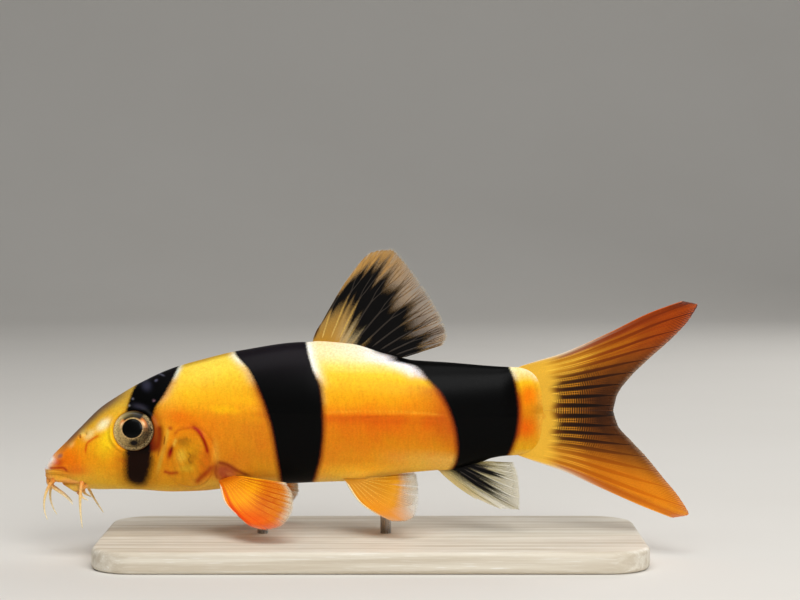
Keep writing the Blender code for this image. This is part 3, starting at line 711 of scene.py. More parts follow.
@dataclass(frozen=True)
class FishPlace:
    """Where the fish hangs: the snout's tip and the tail's axis, in metres, from the solids."""

    snout: float
    axis_height: float

    @staticmethod
    def from_frame() -> "FishPlace":
        """The place read from the boxes of the head and of the tail's two lobes."""
        upper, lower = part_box("tail_fin_upper")[0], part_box("tail_fin_lower")[1]
        return FishPlace(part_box("head")[0].x, (upper.z + lower.z) / 2)

    def in_scene(self, points: Array) -> Array:
        """Points of the fish's own frame, in millimetres, as points of the scene in metres."""
        return points * MM + np.array([self.snout, 0.0, self.axis_height])


# Distance back from the snout, back line, belly line, half width and height of the widest part
OUTLINE = {
    "snout tip": (0.0, -9.9, -11.7, 1.6, -10.7),
    "upper lip": (2.6, -6.75, -12.3, 2.6, -10.4),
    "nostril": (6.3, -2.9, -14.3, 3.7, -9.6),
    "chin": (10.0, 0.65, -14.6, 4.5, -8.6),
    "front of eye": (13.6, 3.05, -14.55, 5.2, -7.4),
    "eye": (17.3, 5.2, -14.65, 5.8, -6.4),
    "cheek": (23.0, 7.8, -15.0, 6.5, -5.2),
    "gill cover": (28.4, 9.4, -14.85, 6.9, -4.0),
    "shoulder": (35.8, 11.15, -14.0, 7.1, -2.4),
    "dorsal origin": (47.7, 12.7, -13.35, 6.9, -1.0),
    "mid dorsal": (56.0, 12.15, -13.0, 6.2, -0.6),
    "rear dorsal": (62.5, 10.3, -12.15, 5.5, -0.5),
    "dorsal end": (66.2, 9.5, -11.6, 5.1, -0.5),
    "anal origin": (74.5, 8.9, -10.75, 4.0, -0.5),
    "tail stem": (85.0, 8.1, -8.4, 2.5, -0.1),
    "tail root": (93.0, 7.9, -8.1, 1.2, -0.1),
}


@dataclass(frozen=True)
class BodyShape:
    """The plain form of the body, in millimetres, without its relief."""

    upper_fullness: float = 2.0
    lower_fullness: float = 2.3
    nose_length: float = 1.5
    tail_start: float = 86.2
    tail_length: float = 6.2
    tail_fullness: float = 2.4
    thin_from: float = 83.5
    thin_end: float = 0.07

    @property
    def end(self) -> float:
        """Distance from the snout to the end of the tail stem."""
        return self.tail_start + self.tail_length

    def sizes(self, x: Array) -> tuple[Array, ...]:
        """Back line, belly line, half width and widest height at distances from the snout.

        Each is a smooth curve through the outline's knots. The nose shrinks them as an ellipse
        does, by the root of 1 - n^2 at a share n before its length, and the end of the tail as
        a superellipse. There the flesh thins to the fin that it carries.
        """
        table = np.array(list(OUTLINE.values()))
        back, belly, half, widest = (smooth_curve(x, table[:, 0], table[:, k]) for k in range(1, 5))
        nose = np.clip(1 - x / self.nose_length, 0, 1)
        tail = np.clip((x - self.tail_start) / self.tail_length, 0, 1)
        end = (1 - tail**self.tail_fullness) ** (1 / self.tail_fullness)
        share = np.sqrt(1 - nose**2) * end
        back = widest + (back - widest) * share
        half = half * (1 - (1 - self.thin_end) * ease(self.thin_from, self.end, x))
        return back, widest + (belly - widest) * share, half * share, widest

    def point(self, x: Array, turn: Array) -> Array:
        """A point of the surface: in each section, half a superellipse above the widest height
        and a fuller one below it. turn runs from the back by the left flank to the belly."""
        back, belly, half, widest = self.sizes(x)
        sine, cosine = np.sin(turn), np.cos(turn)
        power = np.where(cosine >= 0, 2 / self.upper_fullness, 2 / self.lower_fullness)
        reach = np.where(cosine >= 0, back - widest, widest - belly)
        y = -half * np.sign(sine) * np.abs(sine) ** power
        z = widest + reach * np.sign(cosine) * np.abs(cosine) ** power
        return np.stack(np.broadcast_arrays(x, y, z), axis=-1)

    def on_flank(self, x: Array, z: Array, side: Side) -> tuple[Array, Array]:
        """Points of a flank by length and height, and the way out of the body there.

        The turn comes from the height by the inverse of the section's formula, and the way out
        is the cross product of the surface's two slopes.
        """
        x, z = np.asarray(x, float), np.asarray(z, float)
        back, belly, _, widest = self.sizes(x)
        above = np.clip((z - widest) / (back - widest), 0, 1) ** (self.upper_fullness / 2)
        below = np.clip((widest - z) / (widest - belly), 0, 1) ** (self.lower_fullness / 2)
        turn = np.where(z >= widest, np.arccos(above), math.pi - np.arccos(below))
        step, small = 0.05, 0.01
        along = self.point(x + step, turn) - self.point(x - step, turn)
        around = self.point(x, turn + small) - self.point(x, turn - small)
        outward = np.cross(along, around)
        outward *= np.where(outward[..., 1:2] > 0, -1, 1)
        outward /= np.linalg.norm(outward, axis=-1, keepdims=True)
        mirror = np.array([1, -side.value, 1])
        return self.point(x, turn) * mirror, outward * mirror


BODY = BodyShape()


def snout_pad(points: Array) -> Array:
    """How far the soft pad of the snout stands forward: most at the upper lip, nothing behind."""
    x, z = points[..., 0], points[..., 2]
    thickness, more_at_lip, lip, length = 0.5, 0.35, (-10.4, -11.6), 3.8
    return (thickness + more_at_lip * ease(*lip, z)) * ease(length, 0.0, x)


@dataclass(frozen=True)
class Lip:
    """A lip as a roll bent round under the snout, or the line between the two lips."""

    front: Pair
    low: float
    corner: Triple
    radii: Pair
    low_share: float = 0.68

    def centre(self, share: Array) -> Array:
        """The middle of the roll: a quarter ellipse in plan from the front at share 0 to the
        corner at 1, and a smooth curve in height."""
        turn = np.asarray(share, float) * math.pi / 2
        x = self.corner[0] + (self.front[0] - self.corner[0]) * np.cos(turn)
        heights = (self.front[1], self.low, self.corner[2])
        z = smooth_curve(np.abs(share), (0, self.low_share, 1), heights)
        return np.stack([x, self.corner[1] * np.sin(turn), z], axis=-1)

    def radius(self, share: Array) -> Array:
        """The roll's thickness, falling as a cosine from front to corner."""
        front, corner = self.radii
        return corner + (front - corner) * np.cos(np.asarray(share, float) * math.pi / 2)


UPPER_LIP = Lip((1.0, -11.9), -12.8, (7.4, 2.5, -12.9), (0.65, 0.3))
LOWER_LIP = Lip((3.7, -13.4), -14.7, (7.6, 2.2, -13.6), (0.9, 0.4))
MOUTH_LINE = Lip((2.2, -13.2), -13.8, (7.2, 2.7, -13.4), (0.25, 0.2))


@dataclass(frozen=True)
class EyeShape:
    """Sizes of the eye and of its socket, in millimetres."""

    x: float = 16.4
    z: float = -3.15
    radius: float = 3.85
    stretch: float = 1.07
    half_depth: float = 2.4
    sink: float = 1.25
    opening: float = 3.68

    def frame(self, side: Side) -> tuple[Array, Array, Array, Array]:
        """The eye's place on the flank, the way out, and the ways to the tail and up across it."""
        point, outward = BODY.on_flank(np.array(self.x), np.array(self.z), side)
        back = np.array([1.0, 0.0, 0.0])
        back = back - (back @ outward) * outward
        back /= np.linalg.norm(back)
        up = np.cross(outward, back) * -side.value
        return point, outward, back, up


EYE = EyeShape()


@dataclass(frozen=True)
class GillCover:
    """The oval flap over the gills, which stands off the head most at its rear edge."""

    x: float = 26.5
    z: float = -7.9
    half_length: float = 4.9
    half_height: float = 5.9
    lean: float = -14.0
    lift: float = 0.45
    least_lift: float = 0.15
    groove: float = 0.2
    rim: float = 1.15
    rim_crease: float = 0.07

    def inside(self, x: Array, z: Array) -> Array:
        """Distance inside the oval's edge: one less its own radius, times its half length."""
        over, above = turned(x - self.x, z - self.z, -self.lean)
        radius = np.hypot(over / self.half_length, above / self.half_height)
        return (1 - radius) * self.half_length


GILL = GillCover()


@dataclass
class Skin:
    """One skin over the head, the trunk, the tail stem and the gill covers.

    The plain body is pushed in and out along its normals, so that no seam shows: sockets with
    raised rims for the eyes, lips with the mouth's line, nostrils, gill covers with a free rear
    edge, the bones of the cheek and the fleshy roots of the fins. The pad of the snout then
    moves forward. Marks are placed by length and height, as the flank is seen from the side.
    """

    place: FishPlace
    finish: WetSkin = WetSkin()
    head_step: float = 0.13
    trunk_step: float = 0.36
    round_points: int = 224
    segment_length: float = 1.8
    first_band_end: float = 26.0
    head_end: float = 32.0
    mouth_end: float = 11.0
    lip_points: int = 321
    line_knots: Pairs = (
        (30, 1.6), (37, 1.1), (51.6, 0.5), (69, 0), (76, -0.5), (92, -0.6),
    )
    nostrils: tuple[Pair, Pair] = ((6.35, -4.6), (7.35, -4.05))
    nostril: float = 0.3
    lip_rise: float = 1.1
    mouth_depth: float = 0.5
    fold_depth: float = 0.16
    fold_height: float = -11.15

    # Bones and grooves of the head: height over the skin, and line
    bones: tuple[tuple[float, Stroke], ...] = (
        (0.26, Stroke("", ((23.6, -4.2), (22.3, -7.6), (20.9, -12)), 0.5)),
        (-0.14, Stroke("", ((24.7, -4.6), (23.5, -8), (22.3, -12.2)), 0.45)),
        (-0.13, Stroke("", ((10.9, -4.2), (8.6, -5.6), (7.5, -7), (7.3, -8.6)), 0.28)),
        (0.07, Stroke("", ((10.6, -5.3), (12.2, -6.4), (13.6, -7.3)), 0.3)),
        (-0.1, Stroke("", ((24, -3.3), (26.6, -2.6), (28.6, -4), (29.8, -6.6)), 0.3)),
    )

    # Flesh over the roots of the paired fins: height over the skin, and oval
    swellings: tuple[tuple[float, Patch], ...] = (
        (0.42, Patch("", (33.9, -11.7), (2.7, 1.5), 22)),
        (0.3, Patch("", (57.2, -11.9), (2.6, 1), 6)),
    )

    def line_height(self, x: Array) -> Array:
        """Height of the line along the flank, a smooth curve through its knots."""
        knots = np.array(self.line_knots)
        return smooth_curve(x, knots[:, 0], knots[:, 1])

    def rings(self) -> Array:
        """Where the grid has a ring: by a cosine on the nose, a sine on the tail's end, and even
        steps between, finer on the head."""
        nose = BODY.nose_length * (1 - np.cos(np.linspace(0.06, math.pi / 2, 14)))
        head = np.arange(BODY.nose_length + self.head_step, self.head_end, self.head_step)
        trunk = np.arange(self.head_end + self.trunk_step, BODY.tail_start, self.trunk_step)
        bend = np.linspace(0.01, math.pi / 2 - 0.04, 26)
        tail = BODY.tail_start + BODY.tail_length * np.sin(bend)
        return np.concatenate([nose, head, trunk, tail])

    def relief(self, points: Array, normals: Array) -> Array:
        """How far the surface moves out along its normals, in millimetres."""
        x, z = points[..., 0], points[..., 2]
        rise = self.gill(x, z) + sum(height * bone.weight(x, z) for height, bone in self.bones)
        rise += 0.05 * bell(z - self.line_height(x) + 0.5, 0.5) * ease(33, 38, x)
        rise *= ease(0.25, 0.6, np.abs(normals[..., 1]))
        rise += self.socket(points) + self.nose(points)
        return rise + self.mouth(points, normals) + self.fin_roots(points)

    def socket(self, points: Array) -> Array:
        """The eye's socket: a drop inside its opening, a rim that falls as a bell outside, and a
        faint crease round that."""
        rise = np.zeros(points.shape[:-1])
        depth, rim, crease, soft, far = 1.7, 0.26, 0.06, 0.3, 40
        for side in Side:
            centre, outward, back, _ = EYE.frame(side)
            off = points - centre
            away = off - (off @ outward)[..., None] * outward
            longer = (away @ back) ** 2 * (1 - 1 / EYE.stretch**2)
            reach = np.sqrt((away**2).sum(axis=-1) - longer) - EYE.opening
            reach += far * (points[..., 1] * side.value < 0)
            rise += rim * bell(reach - 0.36, soft) - crease * bell(reach - 1.15, soft)
            rise -= depth * (1 - ease(-0.5, 0.16, reach))
        return rise

    def gill(self, x: Array, z: Array) -> Array:
        """The gill cover: it lifts from its front edge to its rear one, steps down there into a
        groove, and has a shallow crease along its soft rim."""
        inside = GILL.inside(x, z)
        back = ease(GILL.x - GILL.half_length, GILL.x + GILL.half_length, x)
        low = ease(GILL.z - 1.0, GILL.z - 5.0, z)
        free = np.maximum(back, 0.75 * low * ease(GILL.x - 3.5, GILL.x, x))
        share = GILL.least_lift + (1 - GILL.least_lift) * back
        lift = GILL.lift * share * ease(-0.02, 0.34, inside)
        groove = GILL.groove * bell(inside + 0.25, 0.26) * ease(0.35, 0.95, free)
        crease = GILL.rim_crease * bell(inside - GILL.rim, 0.3) * ease(0.35, 0.8, back)
        return lift - groove - crease

    def mouth(self, points: Array, normals: Array) -> Array:
        """The lips and the mouth's line.

        A lip rises to the surface of its roll along the skin's normal: the root of R^2 - s^2 less
        how deep the skin lies over the roll's middle, where s is the distance beside it, and it
        runs out softly past its side.
        """
        near = points[..., 0] < self.mouth_end
        shares = np.linspace(-1, 1, self.lip_points)
        rise = np.zeros(points.shape[:-1])
        spots, ways = points[near], normals[near]
        raised = np.zeros(len(spots))
        for lip in (UPPER_LIP, LOWER_LIP):
            path = lip.centre(shares)
            _, nearest = nearest_on(spots, path)
            off = spots - path[nearest]
            above = (off * ways).sum(axis=-1)
            beside = np.sqrt(np.maximum((off**2).sum(axis=-1) - above**2, 0))
            radius = lip.radius(shares[nearest])
            roll = np.sqrt(np.maximum(radius**2 - np.minimum(beside, radius * 0.96) ** 2, 0))
            pad = np.clip(roll - above, 0, self.lip_rise) * ease(1.3, 0.9, beside / radius)
            raised = np.maximum(raised, pad)
        gap, _ = nearest_on(spots, MOUTH_LINE.centre(shares))
        line = self.mouth_depth * bell(gap, 0.26)
        rise[near] = raised - line - self.fold_depth * self.rostral_fold(spots)
        return rise

    def rostral_fold(self, points: Array) -> Array:
        """The crease between the pad of the snout and the upper lip, arched along the snout."""
        x, z = points[..., 0], points[..., 2]
        arch, length = 0.3, 3.4
        height = self.fold_height + arch * np.sin(np.clip(x / length, 0, 1) * math.pi)
        return bell(z - height, 0.17) * ease(4.6, 3.0, x)

    def nose(self, points: Array) -> Array:
        """On each side two pits, one behind the other, with a flap of skin standing between."""
        rise = np.zeros(points.shape[:-1])
        for side in Side:
            to_front, to_rear = (
                np.linalg.norm(points - BODY.on_flank(*spot, side)[0], axis=-1)
                for spot in self.nostrils
            )
            flap = bell(to_front - 0.52, 0.15) * ease(0.9, 0.4, to_rear - 0.25)
            rise -= 0.55 * bell(to_front, self.nostril) + 0.45 * bell(to_rear, self.nostril)
            rise += 0.2 * bell(to_front - 0.5, 0.16) + 0.34 * flap
        return rise

    def fin_roots(self, points: Array) -> Array:
        """Flesh that swells at the root of each fin: a crest, a keel and two ovals a flank."""
        x, y, z = (points[..., k] for k in range(3))
        widest = BODY.sizes(x)[3]
        crest = bell(y, 0.75) * between(x, 48.2, 50.2, 65.2, 67.4) * (z > widest)
        keel = bell(y, 0.7) * between(x, 71.6, 73.6, 80.4, 82.2) * (z < widest)
        ovals = sum(height * oval.weight(x, z) for height, oval in self.swellings)
        return 0.24 * crest + 0.22 * keel + ovals

    @staticmethod
    def edge_gaps(x: Array, z: Array) -> dict[tuple[Band, bool], Array]:
        """Signed distance outside the front and rear edge of each dark band, in millimetres.

        Each edge is a smooth curve of length by height, and the distance along the body is
        turned square to the edge by the cosine of its slope.
        """
        gaps = {}
        for band in Band:
            table = np.array(band.value)
            for rear in (False, True):
                edge = table[:, 1 + rear]
                lean = np.interp(z, table[:, 0], np.gradient(edge, table[:, 0]))
                away = (x - smooth_curve(z, table[:, 0], edge)) * (1 if rear else -1)
                gaps[band, rear] = away / np.hypot(1, lean)
        return gaps

    def band_depth(self, x: Array, z: Array) -> Array:
        """Signed distance inside the nearest dark band. The first ends round under the eye."""
        gaps = self.edge_gaps(x, z)
        depths = {band: np.minimum(-gaps[band, False], -gaps[band, True]) for band in Band}
        (end_x, end_z), end_radius, squeeze = (17.2, -9.9), 3.6, 1.25
        off_end = np.hypot((x - end_x) * squeeze, z - end_z) * (z < end_z)
        depths[Band.EYE] = np.minimum(depths[Band.EYE], end_radius - off_end)
        return np.maximum.reduce(list(depths.values()))

    # Ladders of colour by height, each at a length; the head's stand on the axis of the tail
    # and the trunk's on the line along the flank. The cream to white at the top of the trunk is
    # a painted highlight of the light from above, and the pale steps at the belly's edge are partly
    # the belly's own paler colour and partly painted light thrown up from below
    ladders: tuple[tuple[float, Steps], ...] = (
        (6, (
            (-15.5, "#E9CF7C"), (-13, "#E8B640"), (-9, "#EC9212"), (-6, "#F09A14"),
            (-3, "#EFAE22"), (0, "#E3AE40"), (4, "#D9A84A"),
        )),
        (16, (
            (-15.5, "#F4CC58"), (-13, "#E0AA28"), (-9.5, "#E79A12"), (-5, "#F0A818"),
            (0, "#F0BC33"), (4, "#E9C04A"), (7, "#D8B45A"),
        )),
        (26, (
            (-15.5, "#F0C458"), (-13, "#DC9420"), (-9, "#E08A12"), (-4, "#EA8610"),
            (0, "#F29A14"), (3.5, "#F8BE22"), (7, "#F6D23C"), (10, "#EED25A"),
        )),
        (38, (
            (-14.5, "#F4CC60"), (-12.5, "#DC9020"), (-8, "#DA8A18"), (-3, "#DE8818"),
            (0.3, "#F2A018"), (1.2, "#FBB41A"), (3, "#F2B41E"), (7, "#F8D236"),
            (11, "#F4DA5C"),
        )),
        # The cream to white steps from 8.2 up are a painted highlight; the low steps are raised
        # partly by painted light from below
        (60, (
            (-13.5, "#FFDE7C"), (-12.2, "#FFCC50"), (-10.9, "#FFBE34"), (-9.2, "#E89C20"),
            (-5, "#E07E10"), (-1.2, "#E46A0A"), (0.2, "#F08A10"), (2.5, "#F6A812"),
            (5.5, "#F9C41E"), (6.8, "#FAD230"), (8.2, "#FBE478"), (9.4, "#FBEFB8"),
            (10.4, "#F9F0D2"), (12.5, "#FBF6E4"),
        )),
        (89, (
            (-8.5, "#F2D470"), (-6.5, "#DCA41E"), (-3, "#DC8410"), (0, "#DA8410"),
            (3, "#EC960E"), (6, "#F8C822"), (8, "#F6E6A0"),
        )),
    )
    head_ladders: int = 3

    # The near-white strips high on the back beside the bands are a painted highlight of the light
    # from above
    margins: tuple[Margin, ...] = (
        Margin("#E2EEEC", Band.EYE, True, 0.6, (5.2, 6.8, 20, 21), 0.85),
        Margin("#E8A878", Band.EYE, True, 0.9, (1, 3, 4.8, 7), 0.7),
        Margin("#C0500C", Band.EYE, True, 2, (-7.6, -6.2, -1, 2.5), 0.8),
        Margin("#6E1804", Band.EYE, True, 1.35, (-7.6, -6.4, -3.4, 0.6), 1),
        Margin("#FAF2DC", Band.SHOULDER, False, 0.95, (7.6, 9.6, 20, 21), 0.95),
        Margin("#EBC28C", Band.SHOULDER, False, 1.1, (4, 6.4, 7.8, 9.8), 0.75),
        Margin("#CC6A20", Band.SHOULDER, False, 1.5, (-2.5, 0.5, 4.2, 6.6), 0.7),
        Margin("#CC7A22", Band.SHOULDER, False, 0.6, (-14, -12, -1, 1), 0.55),
        Margin("#FFFEF8", Band.SHOULDER, True, 1.15, (4.2, 8.4, 20, 21), 1),
        Margin("#F6D878", Band.SHOULDER, True, 0.7, (0.6, 3, 5, 7), 0.7),
        Margin("#D8801C", Band.SHOULDER, True, 0.5, (-14, -12, 0, 1.5), 0.5),
        Margin("#F6F3F8", Band.REAR, False, 0.95, (5.6, 7, 20, 21), 1),
        Margin("#CC6214", Band.REAR, False, 3.1, (-9, -5, 3.8, 5.8), 0.8),
        Margin("#A84A14", Band.REAR, False, 0.7, (-9, -6, 3.4, 5.2), 0.6),
        Margin("#CC4A06", Band.REAR, True, 0.75, (-5.8, -4, 2.4, 4.4), 0.85),
        Margin("#FBF2C8", Band.REAR, True, 0.9, (5, 6.6, 20, 21), 0.85),
    )

    head_marks: tuple[Patch | Stroke, ...] = (
        Patch("#F0A818", (10.5, -8), (5.5, 4), 0, 0.6),
        Patch("#F2B824", (10.8, -1.7), (3.6, 2.4), 38, 0.75),
        Patch("#F07C0C", (4.4, -8.9), (2.6, 2.3), 10, 0.9),
        Patch("#FFDC20", (11.6, -5), (1.7, 2.6), -14, 0.7),
        Patch("#E8720E", (25.7, -1.1), (3.9, 1.8), -6, 0.8),
        Patch("#DA9A14", (26.5, -7.3), (3, 3.6), -10, 0.85),
        Patch("#D8700E", (29.7, -8.5), (1.3, 3.2), -8, 0.85),
        Patch("#ECB63C", (31.7, -7.5), (0.6, 2.6), 4, 0.6),
        Patch("#A8862E", (8.6, -0.9), (1.5, 0.7), 42, 0.6),
        # Painted highlight on the head in front of the eye
        Patch("#FCF0BC", (10.8, -2.2), (1.5, 0.8), 38, 1.05),
        Patch("#F8E4A0", (8.2, -4.1), (1.2, 0.7), 40, 0.7),
        Patch("#F2BE60", (4.7, -6), (0.7, 0.5), 40, 0.7),
        Patch("#C8500E", (2.5, -9.4), (1, 0.7), 20, 0.9),
        Patch("#8A5A50", (2.7, -8.2), (0.5, 0.35), 40, 0.85),
        Patch("#DE6A14", (5.8, -10.7), (2.2, 0.9), 0, 0.6),
        # White down the snout's tip: a painted wet highlight over pale skin
        Stroke("#FFFDFC", ((1.6, -8.2), (0.7, -9.2), (0.3, -10.2), (0.3, -10.9)), 0.8, 1),
        Stroke("#B03C10", ((0.9, -10.5), (1.7, -10.4), (3.2, -10.3), (4.2, -11.1)), 0.26, 0.95),
        Stroke("#D0480A", ((10.2, -4.1), (8.9, -4.8), (7.7, -5.9), (7.4, -7.5)), 0.2, 0.85),
        Stroke("#E07810", ((13.5, -8.3), (16, -8.8), (18.9, -8.5)), 0.5, 0.5),
        Patch("#EBCB70", (6.9, -3.7), (0.9, 0.7), 30, 0.8),
        Stroke("#5C0E02", ((21.3, -1.9), (21.4, -3.6), (21.2, -5.2), (20.5, -6.7)), 0.72, 1.05),
        Stroke("#E2AC34", ((23, -2.3), (22.7, -4.4), (21.8, -7.6), (20.8, -11.2)), 0.38, 0.9),
        Stroke("#3C2008", ((22.4, -4.1), (22.2, -5.5)), 0.12, 0.95),
        Stroke("#7A4A10", ((21.7, -5.1), (21, -7.9)), 0.12, 0.8),
        Stroke("#F4C848", ((24.5, -4.5), (23.9, -5.9)), 0.26, 0.8),
        Patch("#B03A14", (23.4, -2.6), (0.45, 0.38), 0, 0.9),
        Patch("#960E04", (23.35, -7), (0.52, 1.3), -17, 1),
        Patch("#6A0E04", (23.6, -6.4), (0.2, 0.6), -17, 0.9),
        Patch("#A86A10", (25.7, -5.1), (1.3, 0.8), -10, 0.75),
        Patch("#EBC23C", (25.4, -7.7), (0.9, 1.3), -10, 0.8),
        Patch("#B87410", (27.4, -8.1), (0.6, 1.6), -24, 0.75),
        Stroke("#8E5A0E", ((26.5, -6.9), (27.1, -7.5), (26.7, -8.3), (27.4, -9.1)), 0.14, 0.85),
        Stroke("#9A600E", ((24.9, -4.7), (26.1, -4.4), (27.3, -4.8)), 0.14, 0.8),
        Patch("#D8B030", (26.3, -9.9), (1.4, 0.7), 0, 0.6),
        Stroke("#B4440E", ((21.9, -10.6), (23.3, -10.9), (24.9, -10.7)), 0.34, 0.9),
        Stroke("#C85A10", ((24, -3.9), (24.8, -3), (26.1, -2.5), (27.7, -2.4)), 0.28, 0.85),
        Stroke(
            "#A01E02", ((27.1, -2.1), (28.4, -2.9), (29.4, -4.3), (30, -5.9), (30.3, -7.3)),
            0.38, 1.05,
        ),
        Stroke("#A83C0A", ((31.3, -9.2), (30.1, -10.4), (28.9, -11.5), (27.7, -12.8)), 0.5, 0.9),
        Patch("#A8502A", (33.3, -10.7), (2.4, 1.6), -20, 1.1),
        Patch("#C87838", (34.2, -11), (0.9, 0.4), -24, 0.7),
        Stroke("#8A3410", ((31.7, -8.8), (33.2, -9.1), (35.4, -10.3), (38, -11.7)), 0.36, 0.9),
        Stroke("#B03C10", ((32.2, -12), (33.6, -11.7), (36, -11.8)), 0.34, 0.8),
        Stroke("#983E12", ((31.7, -9.2), (31.5, -10.7), (31.9, -12.1)), 0.3, 0.6),
    )

    body_marks: tuple[Patch | Stroke, ...] = (
        # Painted highlight along the back over the shoulder
        Patch("#F9DC50", (30, 8.2), (4.6, 2.2), 18, 0.5),
        Patch("#FFD014", (33.2, 0.9), (3, 0.8), -4, 0.5),
        # Painted highlight: a white streak down the back behind the dorsal fin
        Stroke("#FFFDF2", ((58, 11.6), (62, 10), (66, 8.2), (68.4, 6.9)), 0.9, 0.75),
        Patch("#BC520C", (73.4, -1.8), (2.2, 3.4), 0, 0.6),
        Patch("#F57C06", (88.9, 2.8), (1.7, 1.8), 0, 0.95),
        Patch("#E86406", (88.7, -3.2), (1.6, 1.8), 0, 0.9),
        Patch("#E8B840", (91.6, 0), (1.1, 6.4), 0, 0.8),
        Patch("#C88418", (90.9, 0), (1.2, 1.1), 0, 0.8),
        Stroke("#F8EEC8", ((87.4, 8.2), (89.6, 7.4), (91.2, 5.6)), 0.8, 0.7),
        Stroke(
            "#FBB02C", ((36, 1.3), (44, 0.9), (51.6, 0.5), (66.8, 0.2), (74, -0.5)),
            0.2, 0.8,
        ),
        Stroke("#C84A08", ((51, -0.5), (58, -0.5), (66, -0.7), (75, -1)), 0.22, 0.6),
        Stroke(
            "#D2580C", ((37, 0), (44, -0.2), (52, -1), (62, -1.4), (75, -2)),
            0.5, 0.4,
        ),
    )

    band_marks: tuple[Patch | Stroke, ...] = (
        Patch("#55566A", (20.4, 5.8), (0.3, 0.2), 20, 0.9),
        Patch("#3A3A4C", (18.6, 4.9), (0.8, 1), 50, 0.6),
        Patch("#6E6C74", (16.2, 2.5), (0.22, 0.16), 0, 0.9),
        Patch("#8A8684", (15.6, 1.3), (0.2, 0.18), 0, 0.9),
        Patch("#7A5A68", (20.2, 2.3), (0.26, 0.16), 10, 0.9),
        Patch("#2E2C38", (17.6, 1.2), (1.4, 0.5), -10, 0.7),
        Stroke("#5A5868", ((19.2, 6.4), (20.6, 6.9), (22, 6.6)), 0.12, 0.8),
        Patch("#5A2A12", (15.7, -12.4), (1.2, 1.2), 0, 0.9),
        Patch("#8C6A4A", (17.3, -7.9), (0.14, 0.12), 0, 0.9),
    )

    def colours(self, points: Array) -> tuple[Array, Array]:
        """The ground colour and the bands' colour at each point.

        Ladders of colour by height stand at a few lengths, each mixed into the next. Marks lie
        over them, then the bands' margins, then what the shape gives: dark along the back, seams
        between the muscles, striae of the gill cover, a dark dorsal root and pale lips. Some marks,
        the near-white margins and the ladders' tops and belly steps are painted highlights and
        painted light from below, and the bands' black takes a painted sheen towards the back.
        """
        x, y, z = (points[..., k] for k in range(3))
        over_line = z - self.line_height(x)
        stops = [stop for stop, _ in self.ladders]
        ground = np.zeros(points.shape)
        for number, (_, steps) in enumerate(self.ladders):
            share = np.interp(x, stops, np.eye(len(stops))[number])
            height = z if number < self.head_ladders else over_line
            ground += share[..., None] * ladder(height, steps)
        ground = painted(ground, self.head_marks + self.body_marks, x, z)
        gaps = self.edge_gaps(x, z)
        back, _, _, widest = BODY.sizes(x)
        under = back - z
        segment = np.cos(2 * math.pi * (x + 0.32 * np.abs(over_line)) / self.segment_length)
        seam = ease(0.86, 1.0, segment) * ease(26.0, 34.0, x) * ease(9.0, 5.0, np.abs(over_line))
        hinge_x, hinge_z, striae_round = 23.4, -3.6, 34
        away, turn = np.hypot(x - hinge_x, z - hinge_z), np.arctan2(z - hinge_z, x - hinge_x)
        wave = np.cos(striae_round * turn + 0.7 * np.sin(1.6 * away))
        striae = ease(0.0, 1.0, wave) * ease(2.0, 3.6, away)
        dorsal_root = bell(y, 0.9) * between(x, 59.0, 61.5, 67.0, 70.0) * (z > widest)
        for colour, weight in (
            *((edge.colour, edge.weight(gaps[edge.band, edge.rear], z)) for edge in self.margins),
            ("#B08C30", 0.5 * ease(3.6, 1.2, under) * between(x, 5.5, 9.0, 14.0, 17.0)),
            ("#604A44", 0.9 * ease(2.1, 0.1, under) * between(x, 1.2, 5.0, 11.0, 17.5)),
            ("#B88A20", 0.8 * ease(0.7, 0.1, under) * between(x, 24.0, 26.0, 33.0, 36.0)),
            ("#D8720E", 0.16 * seam),
            ("#A86410", 0.2 * striae * ease(0.4, 1.3, GILL.inside(x, z))),
            ("#3A2418", 0.8 * dorsal_root),
            ("#EBA05A", 0.7 * self.lip_share(points)),
        ):
            ground = mixed(ground, colour, weight)
        out_of_middle = np.abs(z - widest) / (back - widest + 0.1)
        # A painted sheen: the bands' black turns purple-grey towards the back, in front of the rear
        # band
        sheen = ease(2.0, 11.0, over_line) * ease(0.3, 0.9, out_of_middle) * ease(66, 58, x)
        ink = mixed(np.broadcast_to(linear("#010101"), ground.shape), "#1E181E", 0.6 * sheen)
        ink = painted(ink, self.band_marks, x, z)
        return ground, mixed(ink, "#180803", self.under_eye(x, z))

    def under_eye(self, x: Array, z: Array) -> Array:
        """How far a point is in the soft, stippled end of the first band."""
        return ease(-5.5, -8.0, z) * (x < self.first_band_end)

    def lip_share(self, points: Array) -> Array:
        """How far a point belongs to a lip, by its distance from the roll's middle."""
        near = points[..., 0] < self.mouth_end
        share = np.zeros(points.shape[:-1])
        shares = np.linspace(-1, 1, self.lip_points // 2 + 1)
        for lip in (UPPER_LIP, LOWER_LIP):
            gap, nearest = nearest_on(points[near], lip.centre(shares))
            share[near] = np.maximum(share[near], ease(1.5, 0.8, gap / lip.radius(shares[nearest])))
        return share

